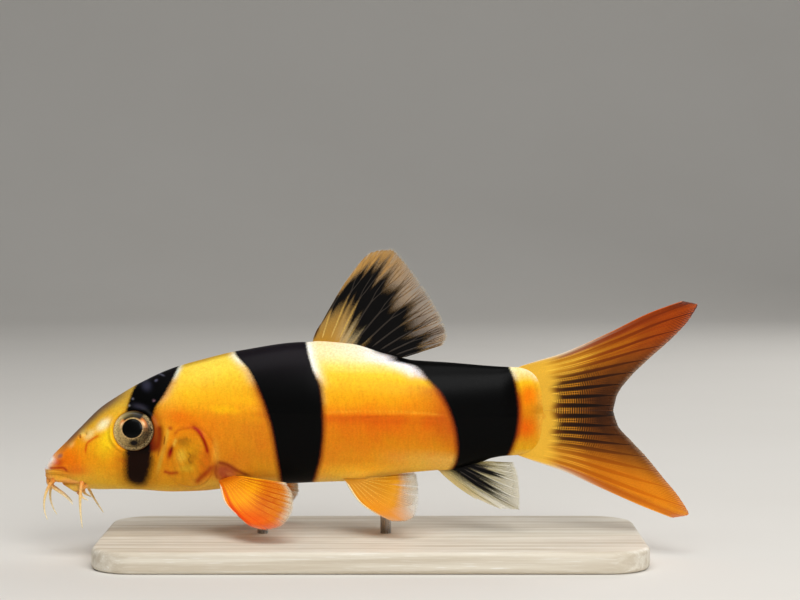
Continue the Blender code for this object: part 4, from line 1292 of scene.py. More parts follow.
    def build(self) -> Object:
        """The skin as one closed surface."""
        turns = np.linspace(0, 2 * math.pi, self.round_points, endpoint=False)
        rings = self.rings()
        plain = BODY.point(rings[:, None], turns[None, :])
        normals = surface_normals(plain, wraps=True)
        outward = np.sign((normals * (plain - plain.mean(axis=1, keepdims=True))).sum(axis=-1))
        normals *= np.sign(outward.sum())
        shaped = plain + normals * self.relief(plain, normals)[..., None]
        shaped[..., 0] -= snout_pad(shaped)
        points, faces = closed_tube(shaped)
        plain_points, _ = closed_tube(plain)
        x, z = plain_points[:, 0], plain_points[:, 2]
        tint, ink = self.colours(plain_points)
        band = self.band_depth(x, z)
        line = -bell(z - self.line_height(x), 0.16) * ease(30, 36, x) * ease(0.2, -0.4, band)
        band *= 1 - 0.6 * self.under_eye(x, z)
        warm = ease(8.6, 4.6, z) * (1 - 0.6 * (x < self.first_band_end))
        values = {"tint": tint, "ink": ink, "band": band, "warm": warm, "line": line}
        surface = Surface(points, faces, values)
        skin = make_piece("skin", surface, self.finish.material(), self.place)
        nodes = ("head", "torso", "tail_stem", "gill_cover_left", "gill_cover_right")
        return report(skin, "fish_skin", *nodes)


@dataclass
class Eyes:
    """The two eyeballs: a black pupil, a bronze iris and a pale ring round it."""

    place: FishPlace
    finish: EyeGlaze = EyeGlaze()
    pupil: float = 1.77
    pupil_offset: Pair = (0.16, 0.36)
    rings: int = 110
    round_points: int = 240

    # The bright crescents of the iris: middle and spread in degrees, and the middle of the core
    crescents: Triples = ((33, 27, 26), (141, 22, 158))

    def colours(self, across: Array, up: Array) -> tuple[Array, Array]:
        """Colour and mottling by distance from the eye's middle and from the pupil's, and by
        the angle about the pupil: bronze with a dark foot and two crescents, a black wedge over
        the pupil, a painted grey-blue highlight at the top of the ring, a pale ring, a blotch under
        the pupil, a brown edge of painted shade where the eye meets its socket, a pale line round
        the pupil and the pupil."""
        reach = np.hypot(across, up)
        over, above = across - self.pupil_offset[0], up - self.pupil_offset[1]
        gap = np.hypot(over, above)
        angle = np.degrees(np.arctan2(above, over))
        lower_right = bell(angle + 25, 72)
        layers = [("#9A7844", ease(2.3, 2.9, reach)), ("#2A1C12", 0.85 * lower_right)]
        bright = np.zeros(reach.shape)
        for middle, spread, core in self.crescents:
            beside = bell(angle - middle, spread)
            bright = np.maximum(bright, beside * bell(gap - 2.2, 0.45))
            layers += [
                ("#D87008", 1.25 * beside * bell(gap - 2.22, 0.36)),
                ("#FFD8A0", 0.9 * bell(angle - core, 15) * bell(gap - 2.1, 0.2)),
            ]
        top = ease(50, 34, np.abs(angle - 94))
        wedge = top * ease(1.85, 2.2, gap)
        ring = ease(3.0, 3.15, reach)
        left = bell(np.abs(angle) - 175, 55)
        blotch = bell(angle + 84, 18) * bell(gap - 2.65, 0.55)
        round_pupil = bell(gap - self.pupil - 0.12, 0.1)
        pupil = 1 - ease(self.pupil - 0.03, self.pupil + 0.05, gap)
        layers += [
            ("#060506", 1.1 * wedge),
            # Painted highlight: grey-blue over the top of the ring
            ("#4C4E5A", 0.8 * bell(angle - 98, 30) * bell(reach - 3.15, 0.1)),
            ("#4A3A22", 0.7 * bell(reach - 3.0, 0.09) * (1 - wedge)),
            ("#B49C6C", 0.9 * ring * (1 - wedge) * (1 - 0.75 * lower_right)),
            ("#FFE294", 0.85 * left * ease(2.2, 3.3, reach)),
            ("#D8BE8C", 0.75 * bell(reach - 3.42, 0.12) * (1 - wedge) * (1 - 0.5 * lower_right)),
            ("#0C0908", 1.4 * blotch),
            # Painted shade: the brown edge where the eye meets its socket
            ("#7A3A1A", ease(3.54, 3.68, reach)),
            ("#D8B07C", 0.8 * round_pupil * (1 - 0.8 * top)),
            ("#010101", pupil),
        ]
        tint = np.broadcast_to(linear("#C2A468"), (*reach.shape, 3))
        for colour, weight in layers:
            tint = mixed(tint, colour, weight)
        fleck = (1 - pupil) * (0.4 + 0.5 * lower_right + 0.2 * ring) * ease(3.65, 3.5, reach)
        return tint, np.clip(fleck * (1 - np.clip(1.3 * bright + wedge, 0, 1)), 0, 1)

    def build_one(self, side: Side) -> Object:
        """One eyeball: a flattened globe turned about the way out of the head, with the iris a
        little sunk and the ring round it a little raised."""
        point, outward, back, up = EYE.frame(side)
        pole = 0.004
        polar = np.linspace(pole, math.pi - pole, 2 * self.rings)
        turn = np.linspace(0, 2 * math.pi, self.round_points, endpoint=False)
        reach = EYE.radius * np.sin(polar)
        relief = 0.05 * bell(reach - 3.3, 0.22) - 0.08 * bell(reach - 2.4, 0.5)
        height = EYE.half_depth * np.cos(polar) + relief * (polar < math.pi / 2) - EYE.sink
        across = reach[:, None] * np.cos(turn)
        above = reach[:, None] * np.sin(turn)
        points = (
            point
            + across[..., None] * back * EYE.stretch
            + above[..., None] * up
            + height[:, None, None] * outward
        )
        if side is Side.RIGHT:
            points, across, above = (grid[:, ::-1] for grid in (points, across, above))
        flat, faces = closed_tube(points)
        tint, fleck = self.colours(across, above)
        ends = np.array([self.colours(np.zeros(1), np.zeros(1))[0][0]] * 2)
        values = {
            "tint": np.concatenate([tint.reshape(-1, 3), ends]),
            "fleck": np.concatenate([fleck.ravel(), [0, 0]]),
        }
        name = f"eye_{side.word}"
        eye = make_piece(f"glazed_{name}", Surface(flat, faces, values), self.material, self.place)
        return report(eye, "eye", name)

    def build(self) -> list[Object]:
        """Both eyes."""
        self.material = self.finish.material()
        return [self.build_one(side) for side in Side]


def swept(
    path: Array, across: Array, radii: Array, sides: int, flatness: float = 1.0
) -> tuple[Array, list[Array]]:
    """A tapered tube along a path: at each point, a circle square to the path's tangent.

    Args:
        path: the points of the middle line.
        across: for each, a direction beside the path, such as a fin's normal.
        radii: the tube's radius at each.
        sides: how many points go round it.
        flatness: its height across the given direction, as a share of its radius.

    Returns:
        The vertices and faces of a closed tube.
    """
    tangent = np.gradient(path, axis=0)
    tangent /= np.linalg.norm(tangent, axis=1, keepdims=True)
    first = across - (across * tangent).sum(axis=1, keepdims=True) * tangent
    first /= np.linalg.norm(first, axis=1, keepdims=True)
    second = np.cross(tangent, first)
    turn = np.linspace(0, 2 * math.pi, sides, endpoint=False)
    circle = (
        first[:, None, :] * np.cos(turn)[None, :, None] * flatness
        + second[:, None, :] * np.sin(turn)[None, :, None]
    )
    rings = path[:, None, :] + circle * radii[:, None, None]
    return closed_tube(rings[:, ::-1])


@dataclass(frozen=True)
class Feeler:
    """One kind of barbel: where it leaves its lip, how it bends to its tip, how far the right
    one's tip is shifted back and up, and how thick it is at its root."""

    name: str
    lip: Lip
    share: float
    way: Triple
    handle: float
    bend: Triple
    tip: Triple
    shift: Pair
    root: float


@dataclass
class Barbels:
    """Four pairs of feelers, with flared roots sunk in the lips and faint rings round them."""

    place: FishPlace
    finish: FinResin = FinResin("tinted_resin_barbel", "#40200E", 0.35 * MM, 0.004 * MM, 0.3, 0.4)
    kinds: tuple[Feeler, ...] = (
        Feeler(
            "rostral_outer", UPPER_LIP, 0.36, (-0.55, 0.35, -0.75), 2.4,
            (-0.9, 2.4, -17.6), (0.2, 2.2, -20), (1.1, 0.3), 0.72,
        ),
        Feeler(
            "rostral_inner", UPPER_LIP, 0.12, (-0.25, 0.1, -0.95), 1.2,
            (3, 0.7, -14.9), (4.7, 0.9, -17.4), (-0.3, 0.2), 0.72,
        ),
        Feeler(
            "maxillary", UPPER_LIP, 0.93, (-0.1, 0.7, -0.7), 1.6,
            (6.3, 4.2, -17.6), (6.9, 4, -21.3), (2.8, 1.7), 0.8,
        ),
        Feeler(
            "mandibular", LOWER_LIP, 0.72, (0.45, 0.1, -0.88), 0.5,
            (6.9, 2.2, -16), (7.7, 2.2, -16.4), (0.1, 0), 0.7,
        ),
    )
    colours: Steps = (
        (0, "#E27C28"), (0.12, "#EAA04A"), (0.4, "#F2CE88"), (1, "#F8EAC4"),
    )
    steps: int = 150
    sides: int = 14
    gap: float = 0.3
    sunk: float = 0.75
    tip_share: float = 0.24
    flare: float = 0.55
    flare_length: float = 0.75
    ring_height: float = 0.02
    ring_spacing: float = 0.34

    def build_one(self, kind: Feeler, side: Side) -> Object:
        """One barbel: a tube along a cubic Bezier curve, thinning to its tip."""
        way = np.array(kind.way) / np.linalg.norm(kind.way)
        middle = np.abs(kind.lip.centre(kind.share)) * (1, 1, -1)
        root = middle + way * (kind.lip.radius(kind.share) + self.gap)
        root[0] -= snout_pad(root)
        shift = np.array([kind.shift[0], 0, kind.shift[1]]) * (side is Side.RIGHT)
        bend, tip = np.array(kind.bend) + shift / 2, np.array(kind.tip) + shift
        t = np.linspace(0, 1, self.steps)[:, None]
        curve = (
            (1 - t) ** 3 * root
            + 3 * t * (1 - t) ** 2 * (root + way * kind.handle)
            + 3 * t * t * (1 - t) * bend
            + t**3 * tip
        )
        stem = root - way * np.linspace(self.sunk, 0.05, 8)[:, None]
        path = np.concatenate([stem, curve]) * (1, side.value, 1)
        steps = np.linalg.norm(np.diff(path, axis=0), axis=1)
        length = np.concatenate([[0], np.cumsum(steps)])
        share = length / length[-1]
        radii = kind.root / 2 * (1 + (self.tip_share - 1) * share**0.9)
        radii = radii * (1 + self.flare * bell(length, self.flare_length))
        radii = radii * (1 + self.ring_height * np.sin(2 * math.pi * length / self.ring_spacing))
        radii[-3:] *= (0.85, 0.6, 0.2)
        across = np.broadcast_to([0.0, 1.0, 0.0], path.shape)
        points, faces = swept(path, across, radii, self.sides)
        tint = round_tube(ladder(share, self.colours), self.sides)
        values = {"tint": tint, "veil": np.ones(len(points)), "ink": np.zeros(len(points))}
        node = f"barbel_{kind.name}_{side.word}"
        surface = Surface(points, faces, values)
        piece = make_piece(f"soft_{node}", surface, self.material, self.place)
        return report(piece, "barbel_flesh", node)

    def build(self) -> list[Object]:
        """All eight."""
        self.material = self.finish.material()
        return [self.build_one(kind, side) for kind in self.kinds for side in Side]


# The fins


@dataclass
class Fin:
    """A fin as a fan of branched rays with a thin film between them.

    The fan is a function of two shares: u from the leading ray to the trailing one and v from
    the root to the margin. A point goes from the root's line to the margin's along a chord, and
    the leading rays stand off their chords by a bend. Lengths are in millimetres and places of
    marks are in u and v.
    """

    name: str
    rays: int
    margin: Triples
    bend: Pairs
    film_colours: Steps
    ray_colours: Steps
    veil: Pairs
    film_marks: tuple[Patch, ...] = ()
    ray_marks: tuple[Patch, ...] = ()
    blots: tuple[Patch, ...] = ()
    unbranched: int = 1
    splits: tuple[float, ...] = (0.28, 0.5, 0.72)
    fill: Pair = (0.66, 0.95)
    thick: float = 0.2
    leading_thick: float = 0.2
    thin: float = 0.05
    flatness: float = 0.62
    film: Pair = (0.14, 0.05)
    root_sink: float = 0.7
    short_of_margin: float = 0.16
    scallop: float = 0.2
    joint: float = 0.55
    streak: float = 0.07
    bundle: float = 0.0
    dash: float = 0.16
    seed: int = 1
    columns_per_ray: int = 16
    rows: int = 70
    sides: int = 6
    rooted: float = 0.35
    split_thinning: float = 0.27
    tip_thinning: float = 0.75
    last_ray: bool = True
    slot: str = "fish_fin"

    def base(self, u: Array) -> Array:
        """The root's line in side view. Each kind of fin gives its own."""
        raise NotImplementedError

    def off_plane(self, u: Array, v: Array, flat: Array) -> Array:
        """The distance from the middle plane. Each kind of fin gives its own."""
        raise NotImplementedError

    def tips(self, u: Array) -> Array:
        """The margin's line in side view, a smooth curve through its knots."""
        table = np.array(self.margin)
        return np.stack([smooth_curve(u, table[:, 0], table[:, k]) for k in (1, 2)], axis=-1)

    def surface(self, u: Array, v: Array) -> Array:
        """The middle of the fin: base + chord v + a bend square to the chord, which fades as
        1 - u and with the ray's own length."""
        base = self.base(u)
        chord = self.tips(u) - base
        length = np.linalg.norm(chord, axis=-1, keepdims=True)
        forward = np.stack([-chord[..., 1], chord[..., 0]], axis=-1) / length
        table = np.array(self.bend, float)
        rise = smooth_curve(v, table[:, 0], table[:, 1])
        follow = (1 - u)[..., None] * np.minimum(length / self.longest(), 1)
        flat = base + chord * v[..., None] + forward * follow * rise[..., None]
        y = self.off_plane(u, v, flat)
        return np.stack([flat[..., 0], y, flat[..., 1]], axis=-1)

    def lengths(self, u: Array) -> Array:
        """The length of each ray's chord."""
        return np.linalg.norm(self.tips(u) - self.base(u), axis=-1)

    def longest(self) -> float:
        """The length of the longest ray."""
        return float(self.lengths(np.linspace(0, 1, 2 * self.rays - 1)).max())

    def normals(self, u: Array, v: Array) -> Array:
        """The fin's unit normal, from differences of its surface over small steps of u and v."""
        step = 0.002
        low, high = np.clip(u - step, 0, 1), np.clip(u + step, 0, 1)
        across = self.surface(high, v) - self.surface(low, v)
        along = self.surface(u, v + step) - self.surface(u, v - step)
        normal = np.cross(across, along)
        return normal / np.linalg.norm(normal, axis=-1, keepdims=True)

    def dressed(
        self, u: Array, v: Array, ladder_steps: tuple, marks: tuple[Patch, ...]
    ) -> dict[str, Array]:
        """Colour, veil and ink: ladders from root to margin with marks over them. The edges of
        the marks run out along the rays by a little more or less from strand to strand.

        Args:
            u: shares from the leading ray to the trailing one.
            v: shares from root to margin.
            ladder_steps: the colours from root to margin.
            marks: patches of other colours, which may thin or close the veil.

        Returns:
            The values by name, one row for each point.
        """
        rng = np.random.default_rng(self.seed + 90)
        knots = 5 * (self.rays - 1) + 1
        jitter = np.interp(u, np.linspace(0, 1, knots), rng.normal(0, self.streak, knots))
        steps = np.array(self.veil)
        veil = np.interp(v, steps[:, 0], steps[:, 1])
        tint = ladder(v, ladder_steps)
        for mark in marks:
            weight = np.clip(mark.weight(u, v + jitter), 0, 1)
            tint = mixed(tint, mark.colour, weight)
            if mark.veil is not None:
                veil = veil + (mark.veil - veil) * weight
        clear = np.ones(np.shape(u))
        for blot in self.blots:
            clear = clear * (1 - np.clip(blot.weight(u, v + jitter), 0, 1))
        return {"tint": tint.reshape(-1, 3), "veil": veil.ravel(), "ink": (1 - clear).ravel()}

    def film_surface(self) -> Surface:
        """The film: two faces a little apart over the fan, joined along its rim, with the margin
        drawn in between the ray tips."""
        columns = self.columns_per_ray * (self.rays - 1) + 1
        u = np.linspace(0, 1, columns)
        strand = u * (self.rays - 1) * 2 ** (len(self.splits) - 1)
        drawn = self.scallop * np.abs(np.sin(math.pi * strand))
        rng = np.random.default_rng(self.seed)
        torn = np.interp(u, np.linspace(0, 1, 3 * self.rays), rng.uniform(0, 1, 3 * self.rays) ** 3)
        top = 1 - (self.short_of_margin * (1 + torn) + drawn) / self.lengths(u)
        start = -self.root_sink / self.lengths(u)
        v = start[:, None] + (top - start)[:, None] * np.linspace(0, 1, self.rows)
        uu = np.broadcast_to(u[:, None], v.shape)
        middle = self.surface(uu, v)
        thick = self.film[0] + (self.film[1] - self.film[0]) * np.clip(v, 0, 1)
        half = self.normals(uu, v) * thick[..., None] / 2
        points = np.concatenate([(middle + half).reshape(-1, 3), (middle - half).reshape(-1, 3)])
        count = columns * self.rows
        front = grid_quads(columns, self.rows, False)
        behind = front[:, ::-1] + count
        rim = np.concatenate([
            np.arange(columns) * self.rows,
            (columns - 1) * self.rows + np.arange(1, self.rows),
            np.arange(columns - 2, -1, -1) * self.rows + self.rows - 1,
            np.arange(self.rows - 2, 0, -1),
        ])
        after = np.roll(rim, -1)
        sides = np.stack([rim, rim + count, after + count, after], axis=1)
        values = self.dressed(uu, np.clip(v, 0, 1), self.film_colours, self.film_marks)
        if self.bundle:
            values["tint"] = self.bundled(values["tint"], uu, v)
        values = {name: np.concatenate([value, value]) for name, value in values.items()}
        faces = [face[:, ::-1] for face in (front, behind, sides)]
        return Surface(points, faces, values)

    def spread(self, v: Array) -> Array:
        """How much of the gap between rays the strands of one ray fill: more near the margin."""
        return self.fill[0] + (self.fill[1] - self.fill[0]) * ease(0.4, 1, v)

    def jointed(self, u: Array, v: Array) -> Array:
        """How plain the joints are: in bundled rays, most in the inner half of the middle ones."""
        inner = ease(0.8, 0.4, v) * (0.3 + 0.7 * ease(0.2, 0.55, u))
        return ease(0.05, 0.15, v) * (inner if self.bundle else 1.0)

    def bundled(self, tint: Array, u: Array, v: Array) -> Array:
        """The film between the strands of one ray takes some of that ray's colour, and all of
        it in a rung at each joint, by the cosine of the length from the root."""
        beside = np.abs(u * (self.rays - 1) - np.round(u * (self.rays - 1)))
        reach_of_halves = 1 / 4 + 1 / 8 + 1 / 16
        edge = reach_of_halves * self.spread(v) * ease(0.0, 0.2, v) + 0.03
        inside = ease(0.04, -0.04, beside - edge) * ease(0.02, 0.1, v) * ease(1.02, 0.8, v)
        own = self.dressed(u, np.clip(v, 0, 1), self.ray_colours, self.ray_marks)["tint"]
        rung = ease(-0.1, 0.7, np.cos(2 * math.pi * v * self.lengths(u[:, :1]) / self.joint))
        jointed = self.jointed(u, v)
        share = inside * (self.bundle * (1 - jointed) + 0.58 * jointed * rung)
        return tint + (own - tint) * share.reshape(-1, 1)

    def strand(self, u: Array, v: Array, radii: Array) -> Surface:
        """One branch of a ray: a flattened tube in the film, with a dark line at each joint."""
        path = self.surface(u, v)
        steps = np.linalg.norm(np.diff(path, axis=0), axis=1)
        phase = np.cos(2 * math.pi * np.concatenate([[0], np.cumsum(steps)]) / self.joint)
        radii = radii * (1 - 0.05 * ease(0.2, 0.9, phase))
        radii[-3:] *= (0.85, 0.6, 0.3)
        points, faces = swept(path, self.normals(u, v), radii, self.sides, self.flatness)
        share = np.clip(v, 0, 1)
        values = self.dressed(u, share, self.ray_colours, self.ray_marks)
        dashed = 1 - self.dash * ease(0.2, 0.9, phase) * self.jointed(u, share)
        values["tint"] = values["tint"] * dashed[:, None]
        values["veil"] = np.clip(values["veil"] + 0.45, 0, 1)
        values = {name: round_tube(value, self.sides) for name, value in values.items()}
        return Surface(points, faces, values)

    def branch(self, ray: int, signs: tuple[int, ...], splits: Array, end: float) -> Surface:
        """One strand of a ray, from where it leaves its parent to the margin.

        At its k-th split a ray's halves part by a share of the gap between rays that halves each
        time, and the tube thins by a quarter.
        """
        gap = 1 / (self.rays - 1)
        middle = ray * gap
        length = float(self.lengths(np.array([middle]))[0])
        parted = [k for k, sign in enumerate(signs) if sign > 0]
        begin = splits[parted[-1]] - 0.01 if parted else -self.root_sink / length
        v = np.linspace(begin, end, max(10, int(length * (end - begin) / (self.joint / 5))))
        spread = self.spread(v)
        u = np.full(len(v), middle)
        radii = np.full(len(v), self.thick)
        for k, sign in enumerate(signs):
            u = u + sign * gap / 2 ** (k + 2) * spread * ease(splits[k], splits[k] + 0.16, v)
            radii *= 1 - self.split_thinning * ease(splits[k] - 0.02, splits[k] + 0.1, v)
        if not signs:
            radii = np.full(len(v), self.leading_thick)
        kept = 1 - self.tip_thinning * np.clip(v, 0, 1) ** 1.5
        radii = self.thin + (radii - self.thin) * kept
        radii = radii * (self.rooted + (1 - self.rooted) * ease(-0.02, 0.12, v))
        return self.strand(np.clip(u, 0, 1), v, radii)

    def ray_surfaces(self) -> list[Surface]:
        """Every strand of every ray. A branched ray splits in two at each of its splits."""
        rng = np.random.default_rng(self.seed + 50)
        strands = []
        for ray in range(self.rays if self.last_ray else self.rays - 1):
            splits = np.array(self.splits) + rng.uniform(-0.05, 0.05)
            ways = list(product((-1, 1), repeat=len(splits))) if ray >= self.unbranched else [()]
            for signs in ways:
                own = splits + rng.uniform(-0.015, 0.015)
                strands.append(self.branch(ray, signs, own, 1 + rng.uniform(-0.012, 0.004)))
        return strands

    def build(self, place: FishPlace, film: Material, ray: Material) -> list[Object]:
        """The fin's film and its rays, as two pieces that stand for its node."""
        kind, *rest = self.name.split("_")
        node = "_".join([kind, "fin", *rest])
        web = make_piece(f"{self.name}_film", self.film_surface(), film, place)
        bones = make_piece(f"{self.name}_rays", Surface.joined(self.ray_surfaces()), ray, place)
        return [report(piece, self.slot, node) for piece in (web, bones)]


@dataclass
class RidgeFin(Fin):
    """A fin in the middle plane that stands on the back or hangs from the belly."""

    root: Pair = (0.0, 1.0)
    on_back: bool = True
    flutter: float = 0.16

    def base(self, u: Array) -> Array:
        """Points of the back line or belly line between the two ends of the root."""
        x = self.root[0] + (self.root[1] - self.root[0]) * u
        back, belly, _, _ = BODY.sizes(x)
        return np.stack([x, back + 0.3 if self.on_back else belly - 0.3], axis=-1)

    def off_plane(self, u: Array, v: Array, flat: Array) -> Array:
        """A slow wave along the fin that grows towards the margin."""
        return self.flutter * np.sin(2.2 * math.pi * u + 0.6) * np.clip(v, 0, 1) ** 2


@dataclass
class TailLobe(Fin):
    """One lobe of the tail fin, from its leading ray to the middle ray, which sways aside."""

    upper: bool = True
    sway: float = -1.5
    fork_sway: float = 0.4
    leading_turn: float = 80.0
    gap: float = 0.3
    short_rays: int = 9
    flesh: Pair = (0.1, 3.6)
    flesh_colour: str = "#F2BC3C"

    @property
    def sign(self) -> int:
        """One for the upper lobe and minus one for the lower."""
        return 1 if self.upper else -1

    def base(self, u: Array) -> Array:
        """Points round the end of the tail stem, on a superellipse a little outside it."""
        turn = np.radians(self.leading_turn * (1 - u)) * self.sign
        back, belly, _, widest = (float(s) for s in BODY.sizes(np.array(BODY.tail_start)))
        power = 2 / BODY.tail_fullness
        height = np.where(turn >= 0, back - widest, widest - belly) + self.gap
        x = BODY.tail_start + (BODY.tail_length + self.gap) * np.abs(np.cos(turn)) ** power
        z = widest + height * np.sign(turn) * np.abs(np.sin(turn)) ** power
        return np.stack([x, z - widest * u**6], axis=-1)

    def off_plane(self, u: Array, v: Array, flat: Array) -> Array:
        """The sway, which grows with the square of v and is least at the fork."""
        return self.sway * (1 - (1 - self.fork_sway) * u) * np.clip(v, 0, 1.02) ** 2

    def dressed(
        self, u: Array, v: Array, ladder_steps: tuple, marks: tuple[Patch, ...]
    ) -> dict[str, Array]:
        """As any fin's, with the yellow flesh of the stem running out over the roots in lobes,
        furthest at the leading ray, and thicker on the film than on the rays."""
        values = super().dressed(u, v, ladder_steps, marks)
        outer = (1 - u) ** 2
        reach = self.flesh[0] + self.flesh[1] * outer + 0.5 * np.sin(23 * u + 1)
        over_root = ease(1, 0, (v * self.lengths(u) - reach) / (2.1 + 2.6 * outer)).ravel()
        cover = 0.4 if ladder_steps is self.ray_colours else 0.8
        values["tint"] = mixed(values["tint"], self.flesh_colour, cover * over_root)
        return values

    def ray_surfaces(self) -> list[Surface]:
        """The fan's own rays, and short ones from the stem out to the leading edge."""
        strands = super().ray_surfaces()
        for number in range(self.short_rays):
            share = (number + 1) / self.short_rays
            v_end = 0.06 + 0.36 * share
            length = v_end * float(self.lengths(np.array([0.0]))[0])
            t = np.linspace(0, 1, max(12, int(length / (self.joint / 5))))
            u = (0.02 + 0.14 * share) * (1 - t**1.5)
            radii = self.leading_thick * (0.8 - 0.35 * t) * (0.4 + 0.6 * ease(0, 0.25, t))
            strands.append(self.strand(u, -0.03 + (v_end + 0.03) * t, radii))
        return strands


@dataclass
class PairedFin(Fin):
    """A fin rooted on one flank that fans back, down and out."""

    side: Side = Side.LEFT
    root: tuple[Pair, Pair] = ((0.0, 0.0), (1.0, 0.0))
    splay: float = 40.0
    cup: float = 1.0
    stand_off: float = 1.5
    root_gap: float = 0.55

    def base_3d(self, u: Array) -> Array:
        """Points of the flank along the root, a little outside the skin."""
        front, rear = (np.array(place) for place in self.root)
        x, z = (front[k] + (rear[k] - front[k]) * u for k in (0, 1))
        point, outward = BODY.on_flank(x, z, self.side)
        return point + outward * self.root_gap

    def base(self, u: Array) -> Array:
        """The root's line in side view."""
        return self.base_3d(u)[..., [0, 2]]

    def off_plane(self, u: Array, v: Array, flat: Array) -> Array:
        """The root's own distance, the tangent of the splay for each drop below the root, a
        stand-off that grows along the ray, and a cup that bends the middle of the fan down."""
        root = self.base_3d(u)
        drop = np.maximum(root[..., 2] - flat[..., 1], 0)
        lift = math.tan(math.radians(self.splay)) * drop
        cup = self.cup * 4 * v * (1 - v) * np.sin(math.pi * u)
        return root[..., 1] + self.side.value * (lift + self.stand_off * v - cup)


def dorsal_fin() -> RidgeFin:
    """The back fin: tan at its front root, a black blot over its rear root and middle, and
    speckled tan tips that run out clear."""
    return RidgeFin(
        name="dorsal", slot="dark_fin", rays=12, root=(49.2, 65.6),
        bend=((0, 0), (0.5, 1), (1, 0)),
        margin=(
            (0, 51.4, 17), (0.08, 55.4, 24.2), (0.16, 60.2, 29.6), (0.24, 63.4, 30.1),
            (0.34, 65.6, 28.4), (0.48, 68.9, 24), (0.62, 71.4, 20.2), (0.76, 73.1, 16.8),
            (0.9, 74, 13.8), (1, 73.2, 12.2),
        ),
        film_colours=((0, "#B8862C"), (0.3, "#A88240"), (0.6, "#94703C"), (1, "#B08C5C")),
        ray_colours=(
            (0, "#D0AC60"), (0.3, "#C8A050"), (0.7, "#8E6838"), (0.92, "#A88050"),
            (1, "#E4D4B0"),
        ),
        veil=((0, 0.92), (0.45, 0.82), (0.66, 0.42), (0.84, 0.16), (1, 0.06)),
        blots=(
            Patch("", (0.74, 0.05), (0.25, 0.66)),
            Patch("", (0.52, 0.34), (0.24, 0.34)),
            Patch("", (0.32, 0.5), (0.2, 0.24)),
            Patch("", (0.13, 0.6), (0.14, 0.16), 0, 0.9),
            Patch("", (0.92, 0.2), (0.14, 0.44)),
            Patch("", (0.24, 0.76), (0.26, 0.14), 0, 0.26),
        ),
        film_marks=(
            Patch("#3C1C10", (0, 0.35), (0.025, 0.4), 0, 0.9, 1),
            Patch("#C8B68C", (0.42, 0.08), (0.16, 0.18), 0, 0.8),
            Patch("#C2924A", (0.12, 0.88), (0.28, 0.22), 0, 0.9, 0.86),
            Patch("#54361C", (0.88, 0.74), (0.3, 0.2), 0, 0.8, 0.46),
        ),
        ray_marks=(
            Patch("#3C1C10", (0, 0.3), (0.03, 0.4), 0, 0.9, 1),
            Patch("#F0E4CC", (0.2, 1), (0.16, 0.05), 0, 0.8),
            Patch("#5A3A1C", (0.7, 0.78), (0.3, 0.12), 0, 0.7),
        ),
        splits=(0.44, 0.65, 0.82), fill=(0.5, 0.9), short_of_margin=0.26, seed=11,
    )


def anal_fin() -> RidgeFin:
    """The fin behind the vent: pale in front, black streaks from the root's middle, and clear
    with pale rays outside."""
    return RidgeFin(
        name="anal", slot="dark_fin", rays=9, root=(72.6, 80.6), on_back=False,
        bend=((0, 0), (0.5, -0.4), (1, 0)),
        margin=(
            (0, 79.4, -16.5), (0.14, 84.4, -18.4), (0.28, 87.4, -18.5), (0.45, 87.5, -16.4),
            (0.62, 87.4, -14.2), (0.8, 87.1, -12), (1, 86.3, -9.7),
        ),
        film_colours=((0, "#BCA968"), (0.5, "#C0B68C"), (1, "#F0EAD2")),
        ray_colours=((0, "#D2C088"), (0.5, "#988C64"), (0.8, "#A49A78"), (1, "#E4DCC0")),
        veil=((0, 0.92), (0.5, 0.52), (1, 0.24)),
        blots=(
            Patch("", (0.6, -0.1), (0.42, 0.5)),
            Patch("", (0.38, 0.34), (0.19, 0.4), 0, 0.85),
            Patch("", (0.72, 0.3), (0.14, 0.22), 0, 0.8),
        ),
        film_marks=(Patch("#D2B878", (0.0, 0.3), (0.13, 0.8), 0, 0.95, 0.92),),
        ray_marks=(
            Patch("#DCC788", (0, 0.3), (0.12, 0.9), 0, 0.9, 0.95),
            Patch("#4C4330", (0.34, 0.6), (0.14, 0.3), 0, 0.6),
        ),
        unbranched=2, thick=0.17, leading_thick=0.18, splits=(0.3, 0.52, 0.74), scallop=0.1,
        streak=0.12, flutter=0.12, seed=12,
    )


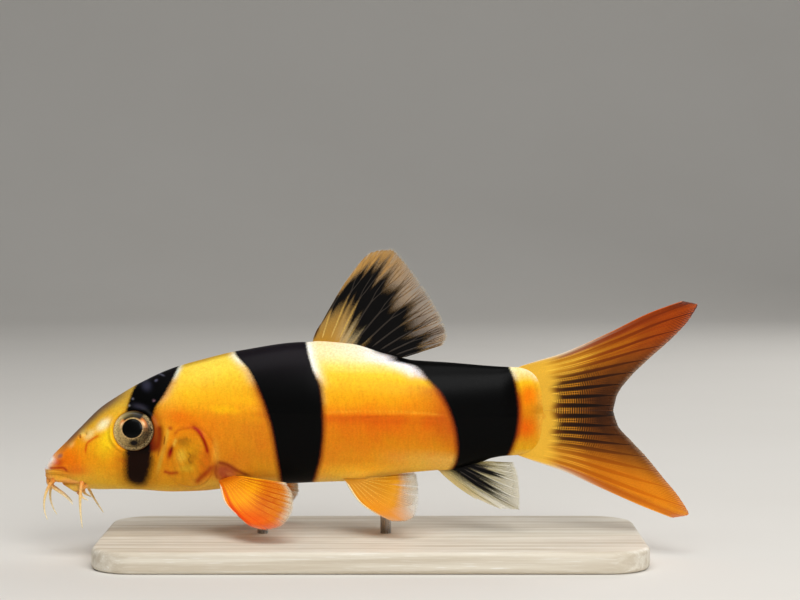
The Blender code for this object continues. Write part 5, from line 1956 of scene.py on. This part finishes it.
def tail_lobe(upper: bool) -> TailLobe:
    """A lobe of the tail fin: yellow at the root, dark film between the middle rays, orange
    to red at the tips, with a pale leading edge."""
    if upper:
        margin = (
            (0, 117.4, 20.4), (0.111, 120, 19.6), (0.222, 118.3, 16.7),
            (0.333, 115.6, 13.7), (0.5, 111.1, 9.6), (0.667, 107.6, 6.1),
            (0.833, 105.4, 2.9), (1, 104.7, 0),
        )
        bend = ((0, 0), (0.28, -0.8), (0.54, -0.45), (0.81, 0.2), (1, 0))
        film_root, ray_root = "#DC9C26", "#FFD850"
        leading, film_tip, ray_tip = "#8A3206", "#6E2002", "#D4580A"
        film_outer, ray_outer = "#944204", "#FBA816"
    else:
        margin = (
            (0, 115.8, -19.8), (0.111, 118.7, -19.1), (0.222, 116.9, -16),
            (0.333, 114.3, -12.8), (0.5, 110.8, -8.5), (0.667, 107.9, -5.4),
            (0.833, 105.6, -2.8), (1, 104.7, 0),
        )
        bend = ((0, 0), (0.28, 0.5), (0.54, 0.15), (0.81, -0.1), (1, 0))
        film_root, ray_root = "#C07C1A", "#FCC040"
        leading, film_tip, ray_tip = "#B45A08", "#DE7404", "#FFAC24"
        film_outer, ray_outer = "#B45A04", "#FCA41A"
    return TailLobe(
        name="tail_upper" if upper else "tail_lower", rays=10, upper=upper, last_ray=upper,
        margin=margin, bend=bend,
        film_colours=(
            (0, "#B06C14"), (0.14, "#7A420C"), (0.24, "#4C2608"), (0.6, "#401E06"),
            (0.9, "#381C08"), (0.975, "#442610"), (1, "#B89878"),
        ),
        ray_colours=(
            (0, "#FCDC6A"), (0.1, "#F8C644"), (0.26, "#EC9C20"), (0.6, "#C06814"),
            (0.93, "#8E4E18"), (1, "#C8A888"),
        ),
        veil=((0, 1), (0.85, 1), (0.95, 0.85), (1, 0.6)),
        film_marks=(
            Patch("#140A04", (0.95, 0.6), (0.38, 0.5), 0, 0.97),
            Patch("#1E0E06", (0.64, 0.42), (0.22, 0.26), 0, 0.7),
            Patch(film_outer, (0.2, 0.4), (0.26, 0.5), 0, 0.9),
            Patch(film_root, (0.3, 0.12), (0.2, 0.22), 0, 0.8),
            Patch(film_tip, (0.12, 0.9), (0.28, 0.4), 0, 0.95),
            Patch(leading, (0.05, 0.45), (0.07, 0.5), 0, 0.8),
            Patch("#D0B08A", (0, 0.16), (0.06, 0.24), 0, 0.8),
        ),
        ray_marks=(
            Patch("#54290C", (0.95, 0.8), (0.36, 0.26), 0, 0.9),
            Patch(ray_outer, (0.26, 0.4), (0.2, 0.36), 0, 0.85),
            Patch(ray_root, (0.3, 0.14), (0.2, 0.24), 0, 0.8),
            Patch(ray_tip, (0.12, 0.86), (0.3, 0.34), 0, 0.9),
            Patch(leading, (0.05, 0.5), (0.05, 0.5), 0, 0.75),
            Patch("#E9DCC8", (0, 0.2), (0.08, 0.3), 0, 0.9),
        ),
        splits=(0.03, 0.34, 0.64), fill=(0.52, 0.97), thick=0.19, thin=0.075, flatness=0.5,
        leading_thick=0.15, scallop=0.06, short_of_margin=0.06, root_sink=2.2, joint=0.42,
        streak=0.05, bundle=0.26, dash=0.2, rows=210, seed=13 if upper else 14,
    )


def pectoral_fin(side: Side) -> PairedFin:
    """The breast fin: red along its leading edge, orange with bright rays, clear behind."""
    return PairedFin(
        name=f"pectoral_{side.word}", side=side, rays=12, root=((32.2, -12.6), (35.4, -11.2)),
        splay=46, cup=1.2, bend=((0, 0), (0.5, -1.5), (1, 0)),
        margin=(
            (0, 36, -17.9), (0.1, 38.7, -19.7), (0.2, 41.1, -20.1), (0.34, 43.9, -19.5),
            (0.48, 45.3, -18.2), (0.62, 46, -16.6), (0.8, 46, -14.7), (1, 44.6, -12.4),
        ),
        film_colours=(
            (0, "#E07A08"), (0.35, "#F49A04"), (0.6, "#DE6E04"), (0.85, "#CC6408"),
            (1, "#D8B080"),
        ),
        ray_colours=(
            (0, "#F08C0C"), (0.35, "#FFB40A"), (0.6, "#F6960C"), (0.85, "#F2A838"),
            (1, "#EAD8B8"),
        ),
        veil=((0, 1), (0.8, 1), (0.92, 0.55), (1, 0.25)),
        film_marks=(
            Patch("#E8500A", (0.2, 0.85), (0.22, 0.42), 0, 0.85),
            Patch("#D42C04", (0.1, 0.55), (0.04, 0.6), 0, 0.85),
            Patch("#C04A04", (0.66, 0.62), (0.26, 0.2), 0, 0.85),
            Patch("#CC5A08", (0.95, 0.4), (0.12, 0.6), 0, 0.7),
            Patch("#E8D8B8", (0.75, 1.05), (0.42, 0.14), 0, 0.9, 0.22),
        ),
        ray_marks=(
            Patch("#F2660E", (0.2, 0.85), (0.2, 0.4), 0, 0.85),
            Patch("#E03406", (0.1, 0.5), (0.035, 0.55), 0, 0.85),
            Patch("#F8A818", (0.04, 0.4), (0.025, 0.5), 0, 0.7),
            # Painted glints: bright gold across the outer rays
            Patch("#FFC434", (0.56, 0.74), (0.3, 0.1), 0, 0.9),
            Patch("#F8E4C8", (0, 0.4), (0.025, 0.7), 0, 0.85),
            Patch("#E8DCC4", (0.75, 1.06), (0.42, 0.13), 0, 0.9),
        ),
        thick=0.19, splits=(0.2, 0.42, 0.66), scallop=0.12, thin=0.055, streak=0.05, seed=15,
    )


def pelvic_fin(side: Side) -> PairedFin:
    """The belly fin: golden orange inside, clear over its outer third, pale in front."""
    return PairedFin(
        name=f"pelvic_{side.word}", side=side, rays=9, root=((55.2, -12.3), (58.8, -11.9)),
        splay=32, cup=0.7, bend=((0, 0), (0.5, -1.1), (1, 0)),
        margin=(
            (0, 61.6, -18.5), (0.14, 64.3, -19.4), (0.28, 66.3, -19.3), (0.42, 67.8, -18.7),
            (0.56, 68.5, -16.9), (0.7, 68.7, -14.9), (0.85, 68.5, -13), (1, 67.8, -11.5),
        ),
        film_colours=((0, "#CE8C20"), (0.4, "#D48A14"), (0.66, "#E69C10"), (1, "#DCD8C8")),
        ray_colours=((0, "#DEA23C"), (0.4, "#E8AC34"), (0.66, "#F0AC1C"), (1, "#C4BCA4")),
        veil=((0, 1), (0.6, 0.95), (0.74, 0.45), (1, 0.12)),
        film_marks=(
            Patch("#E28A0C", (0.22, 0.75), (0.26, 0.45), 0, 0.9, 0.95),
            Patch("#F4F1E6", (0.84, 1.06), (0.44, 0.27), 0, 0.95, 0.14),
        ),
        ray_marks=(
            Patch("#EC9C14", (0.22, 0.75), (0.26, 0.4), 0, 0.8),
            Patch("#DCD6C4", (0.84, 1.02), (0.44, 0.26), 0, 0.9, 0.34),
            Patch("#F4E4B0", (0, 0.5), (0.06, 0.9), 0, 0.95),
        ),
        thick=0.17, splits=(0.24, 0.46, 0.68), scallop=0.15, streak=0.05, seed=16,
    )


@dataclass
class Fins:
    """All fins, each with the colours of its own kind."""

    place: FishPlace

    def build(self) -> list[Object]:
        """Every fin."""
        film = FinResin("tinted_resin_film", "#030202").material()
        ray = FinResin("tinted_resin_ray", "#332D28", 0.11 * MM, 0.0, 0.42, 0.05).material()
        fins = [dorsal_fin(), anal_fin(), tail_lobe(True), tail_lobe(False)]
        fins += [paired(side) for paired in (pectoral_fin, pelvic_fin) for side in Side]
        return [piece for fin in fins for piece in fin.build(self.place, film, ray)]


# The stand


@dataclass
class Stand:
    """A flat board with a rounded edge and two steel rods up to the belly."""

    corner: float = 8.0
    edge: float = 0.9
    edge_steps: int = 7
    board_sides: int = 160
    rod_sides: int = 40

    def board(self, material: Material) -> Object:
        """The board: rings of a rounded rectangle that shrinks by a quarter circle at each edge.

        A point of a ring is a corner's centre plus the ring's radius in its own direction.
        """
        low, high = (np.array(corner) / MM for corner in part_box("stand_base"))
        half = (high - low)[:2] / 2 - self.corner
        turn = np.linspace(0, 2 * math.pi, self.board_sides, endpoint=False)
        quarter = np.floor(turn / (math.pi / 2) + 1e-9).astype(int)
        signs = np.array([(1, 1), (-1, 1), (-1, -1), (1, -1)])[quarter]
        way = np.stack([np.cos(turn), np.sin(turn)], axis=1)
        bends = np.linspace(0, math.pi / 2, self.edge_steps)
        inset = self.edge * (1 - np.sin(bends))
        rise = self.edge * (1 - np.cos(bends))
        levels = [(low[2] + up, back) for up, back in zip(rise, inset)]
        levels += [(high[2] - up, back) for up, back in zip(rise[::-1], inset[::-1])]
        middles, upright = signs * half, np.ones(len(turn))
        rings = np.stack([
            np.column_stack([middles + way * (self.corner - back), upright * height])
            for height, back in levels
        ])
        points, faces = closed_tube(rings[:, ::-1])
        board = make_piece("ash_board", Surface(points * MM, faces), material)
        return report(board, "stand_wood", "stand_base")

    def rod(self, name: str, material: Material) -> Object:
        """A rod: rings round an upright axis, sunk in the board and with its rims eased."""
        low, high = (np.array(corner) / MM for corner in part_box(name))
        centre, radius = (low + high)[:2] / 2, (high - low)[0] / 2
        turn = np.linspace(0, 2 * math.pi, self.rod_sides, endpoint=False)
        way = np.stack([np.cos(turn), np.sin(turn)], axis=1)
        top = high[2]
        levels = ((low[2] - 0.3, 1.0), (top - 0.25, 1.0), (top - 0.06, 0.93), (top, 0.75))
        rings = np.stack([
            np.column_stack([centre + way * radius * share, np.full(len(turn), height)])
            for height, share in levels
        ])
        points, faces = closed_tube(rings[:, ::-1])
        rod = make_piece(name.replace("stand", "steel"), Surface(points * MM, faces), material)
        return report(rod, "stand_steel", name)

    def build(self) -> list[Object]:
        """The board and its rods."""
        steel = DrawnSteel().material()
        rods = [self.rod(name, steel) for name in ("stand_rod_front", "stand_rod_rear")]
        return [self.board(LimedAsh().material()), *rods]


# The studio


@dataclass
class Studio:
    """A pale seamless sweep, soft lights and the camera."""

    target: Triple = (5.25, 0.0, 47.26)
    distance: float = 410.0
    elevation: float = 3.0
    lens: float = 100.0
    lights: tuple[tuple[str, Triple, float, float], ...] = (
        ("top", (-40.0, -200.0, 620.0), 460.0, 2.25),
        ("front", (210.0, -560.0, 430.0), 360.0, 2.75),
        ("back", (380.0, 420.0, 360.0), 380.0, 1.2),
    )
    surround: str = "#F2F4F7"
    glow: float = 0.24

    def sweep(self) -> Object:
        """Paper that lies flat under the model and curves up behind it as a quarter circle."""
        curve = np.linspace(0, math.pi / 2, 24)
        depth = np.concatenate([[-1500.0], 700 + 500 * np.sin(curve), [1200.0]])
        height = np.concatenate([[0.0], 500 * (1 - np.cos(curve)), [2400.0]])
        width = np.linspace(-2200, 2200, 12)
        grid = np.broadcast_arrays(width, depth[:, None], height[:, None])
        points = np.stack(grid, axis=-1).reshape(-1, 3) * MM
        surface = Surface(points, [grid_quads(len(depth), len(width), False)[:, ::-1]])
        paper = make_piece("paper_sweep", surface, StudioPaper().material())
        return paper

    def camera(self) -> Object:
        """The camera, square to the fish's left flank and looking a little down."""
        data = bpy.data.cameras.new("view")
        data.lens = self.lens
        data.clip_start = 0.01
        camera = bpy.data.objects.new("view", data)
        rise = math.radians(self.elevation)
        x, y, z = self.target
        camera.location = (
            x * MM,
            (y - self.distance * math.cos(rise)) * MM,
            (z + self.distance * math.sin(rise)) * MM,
        )
        camera.rotation_euler = (math.pi / 2 - rise, 0, 0)
        bpy.context.scene.collection.objects.link(camera)
        bpy.context.scene.camera = camera
        return camera

    def lamps(self) -> None:
        """Square soft lights turned to the fish, and a pale surround."""
        for name, place, size, power in self.lights:
            data = bpy.data.lights.new(name, "AREA")
            data.size = size * MM
            data.energy = power
            lamp = bpy.data.objects.new(name, data)
            spot = np.array(place) * MM
            lamp.location = spot
            way = Vector(np.array(self.target) * MM - spot)
            lamp.rotation_euler = way.to_track_quat("-Z", "Y").to_euler()
            bpy.context.scene.collection.objects.link(lamp)
        world = bpy.data.worlds.new("pale_surround")
        world.use_nodes = True
        tree = world.node_tree
        tree.nodes.clear()
        glow = add_node(tree, "Background", {"Color": rgba(self.surround), "Strength": self.glow})
        add_node(tree, "OutputWorld", {"Surface": glow})
        bpy.context.scene.world = world

    def build(self) -> None:
        """The whole studio."""
        self.sweep()
        self.camera()
        self.lamps()
        bpy.context.scene.view_settings.view_transform = "Standard"


def main() -> None:
    """Build the fish, its stand and the studio, in that order."""
    logging.basicConfig(level=logging.INFO, format="%(message)s")
    place = FishPlace.from_frame()
    for part in (Skin(place), Eyes(place), Barbels(place), Fins(place), Stand()):
        part.build()
    Studio().build()


if __name__ == "__main__":
    main()
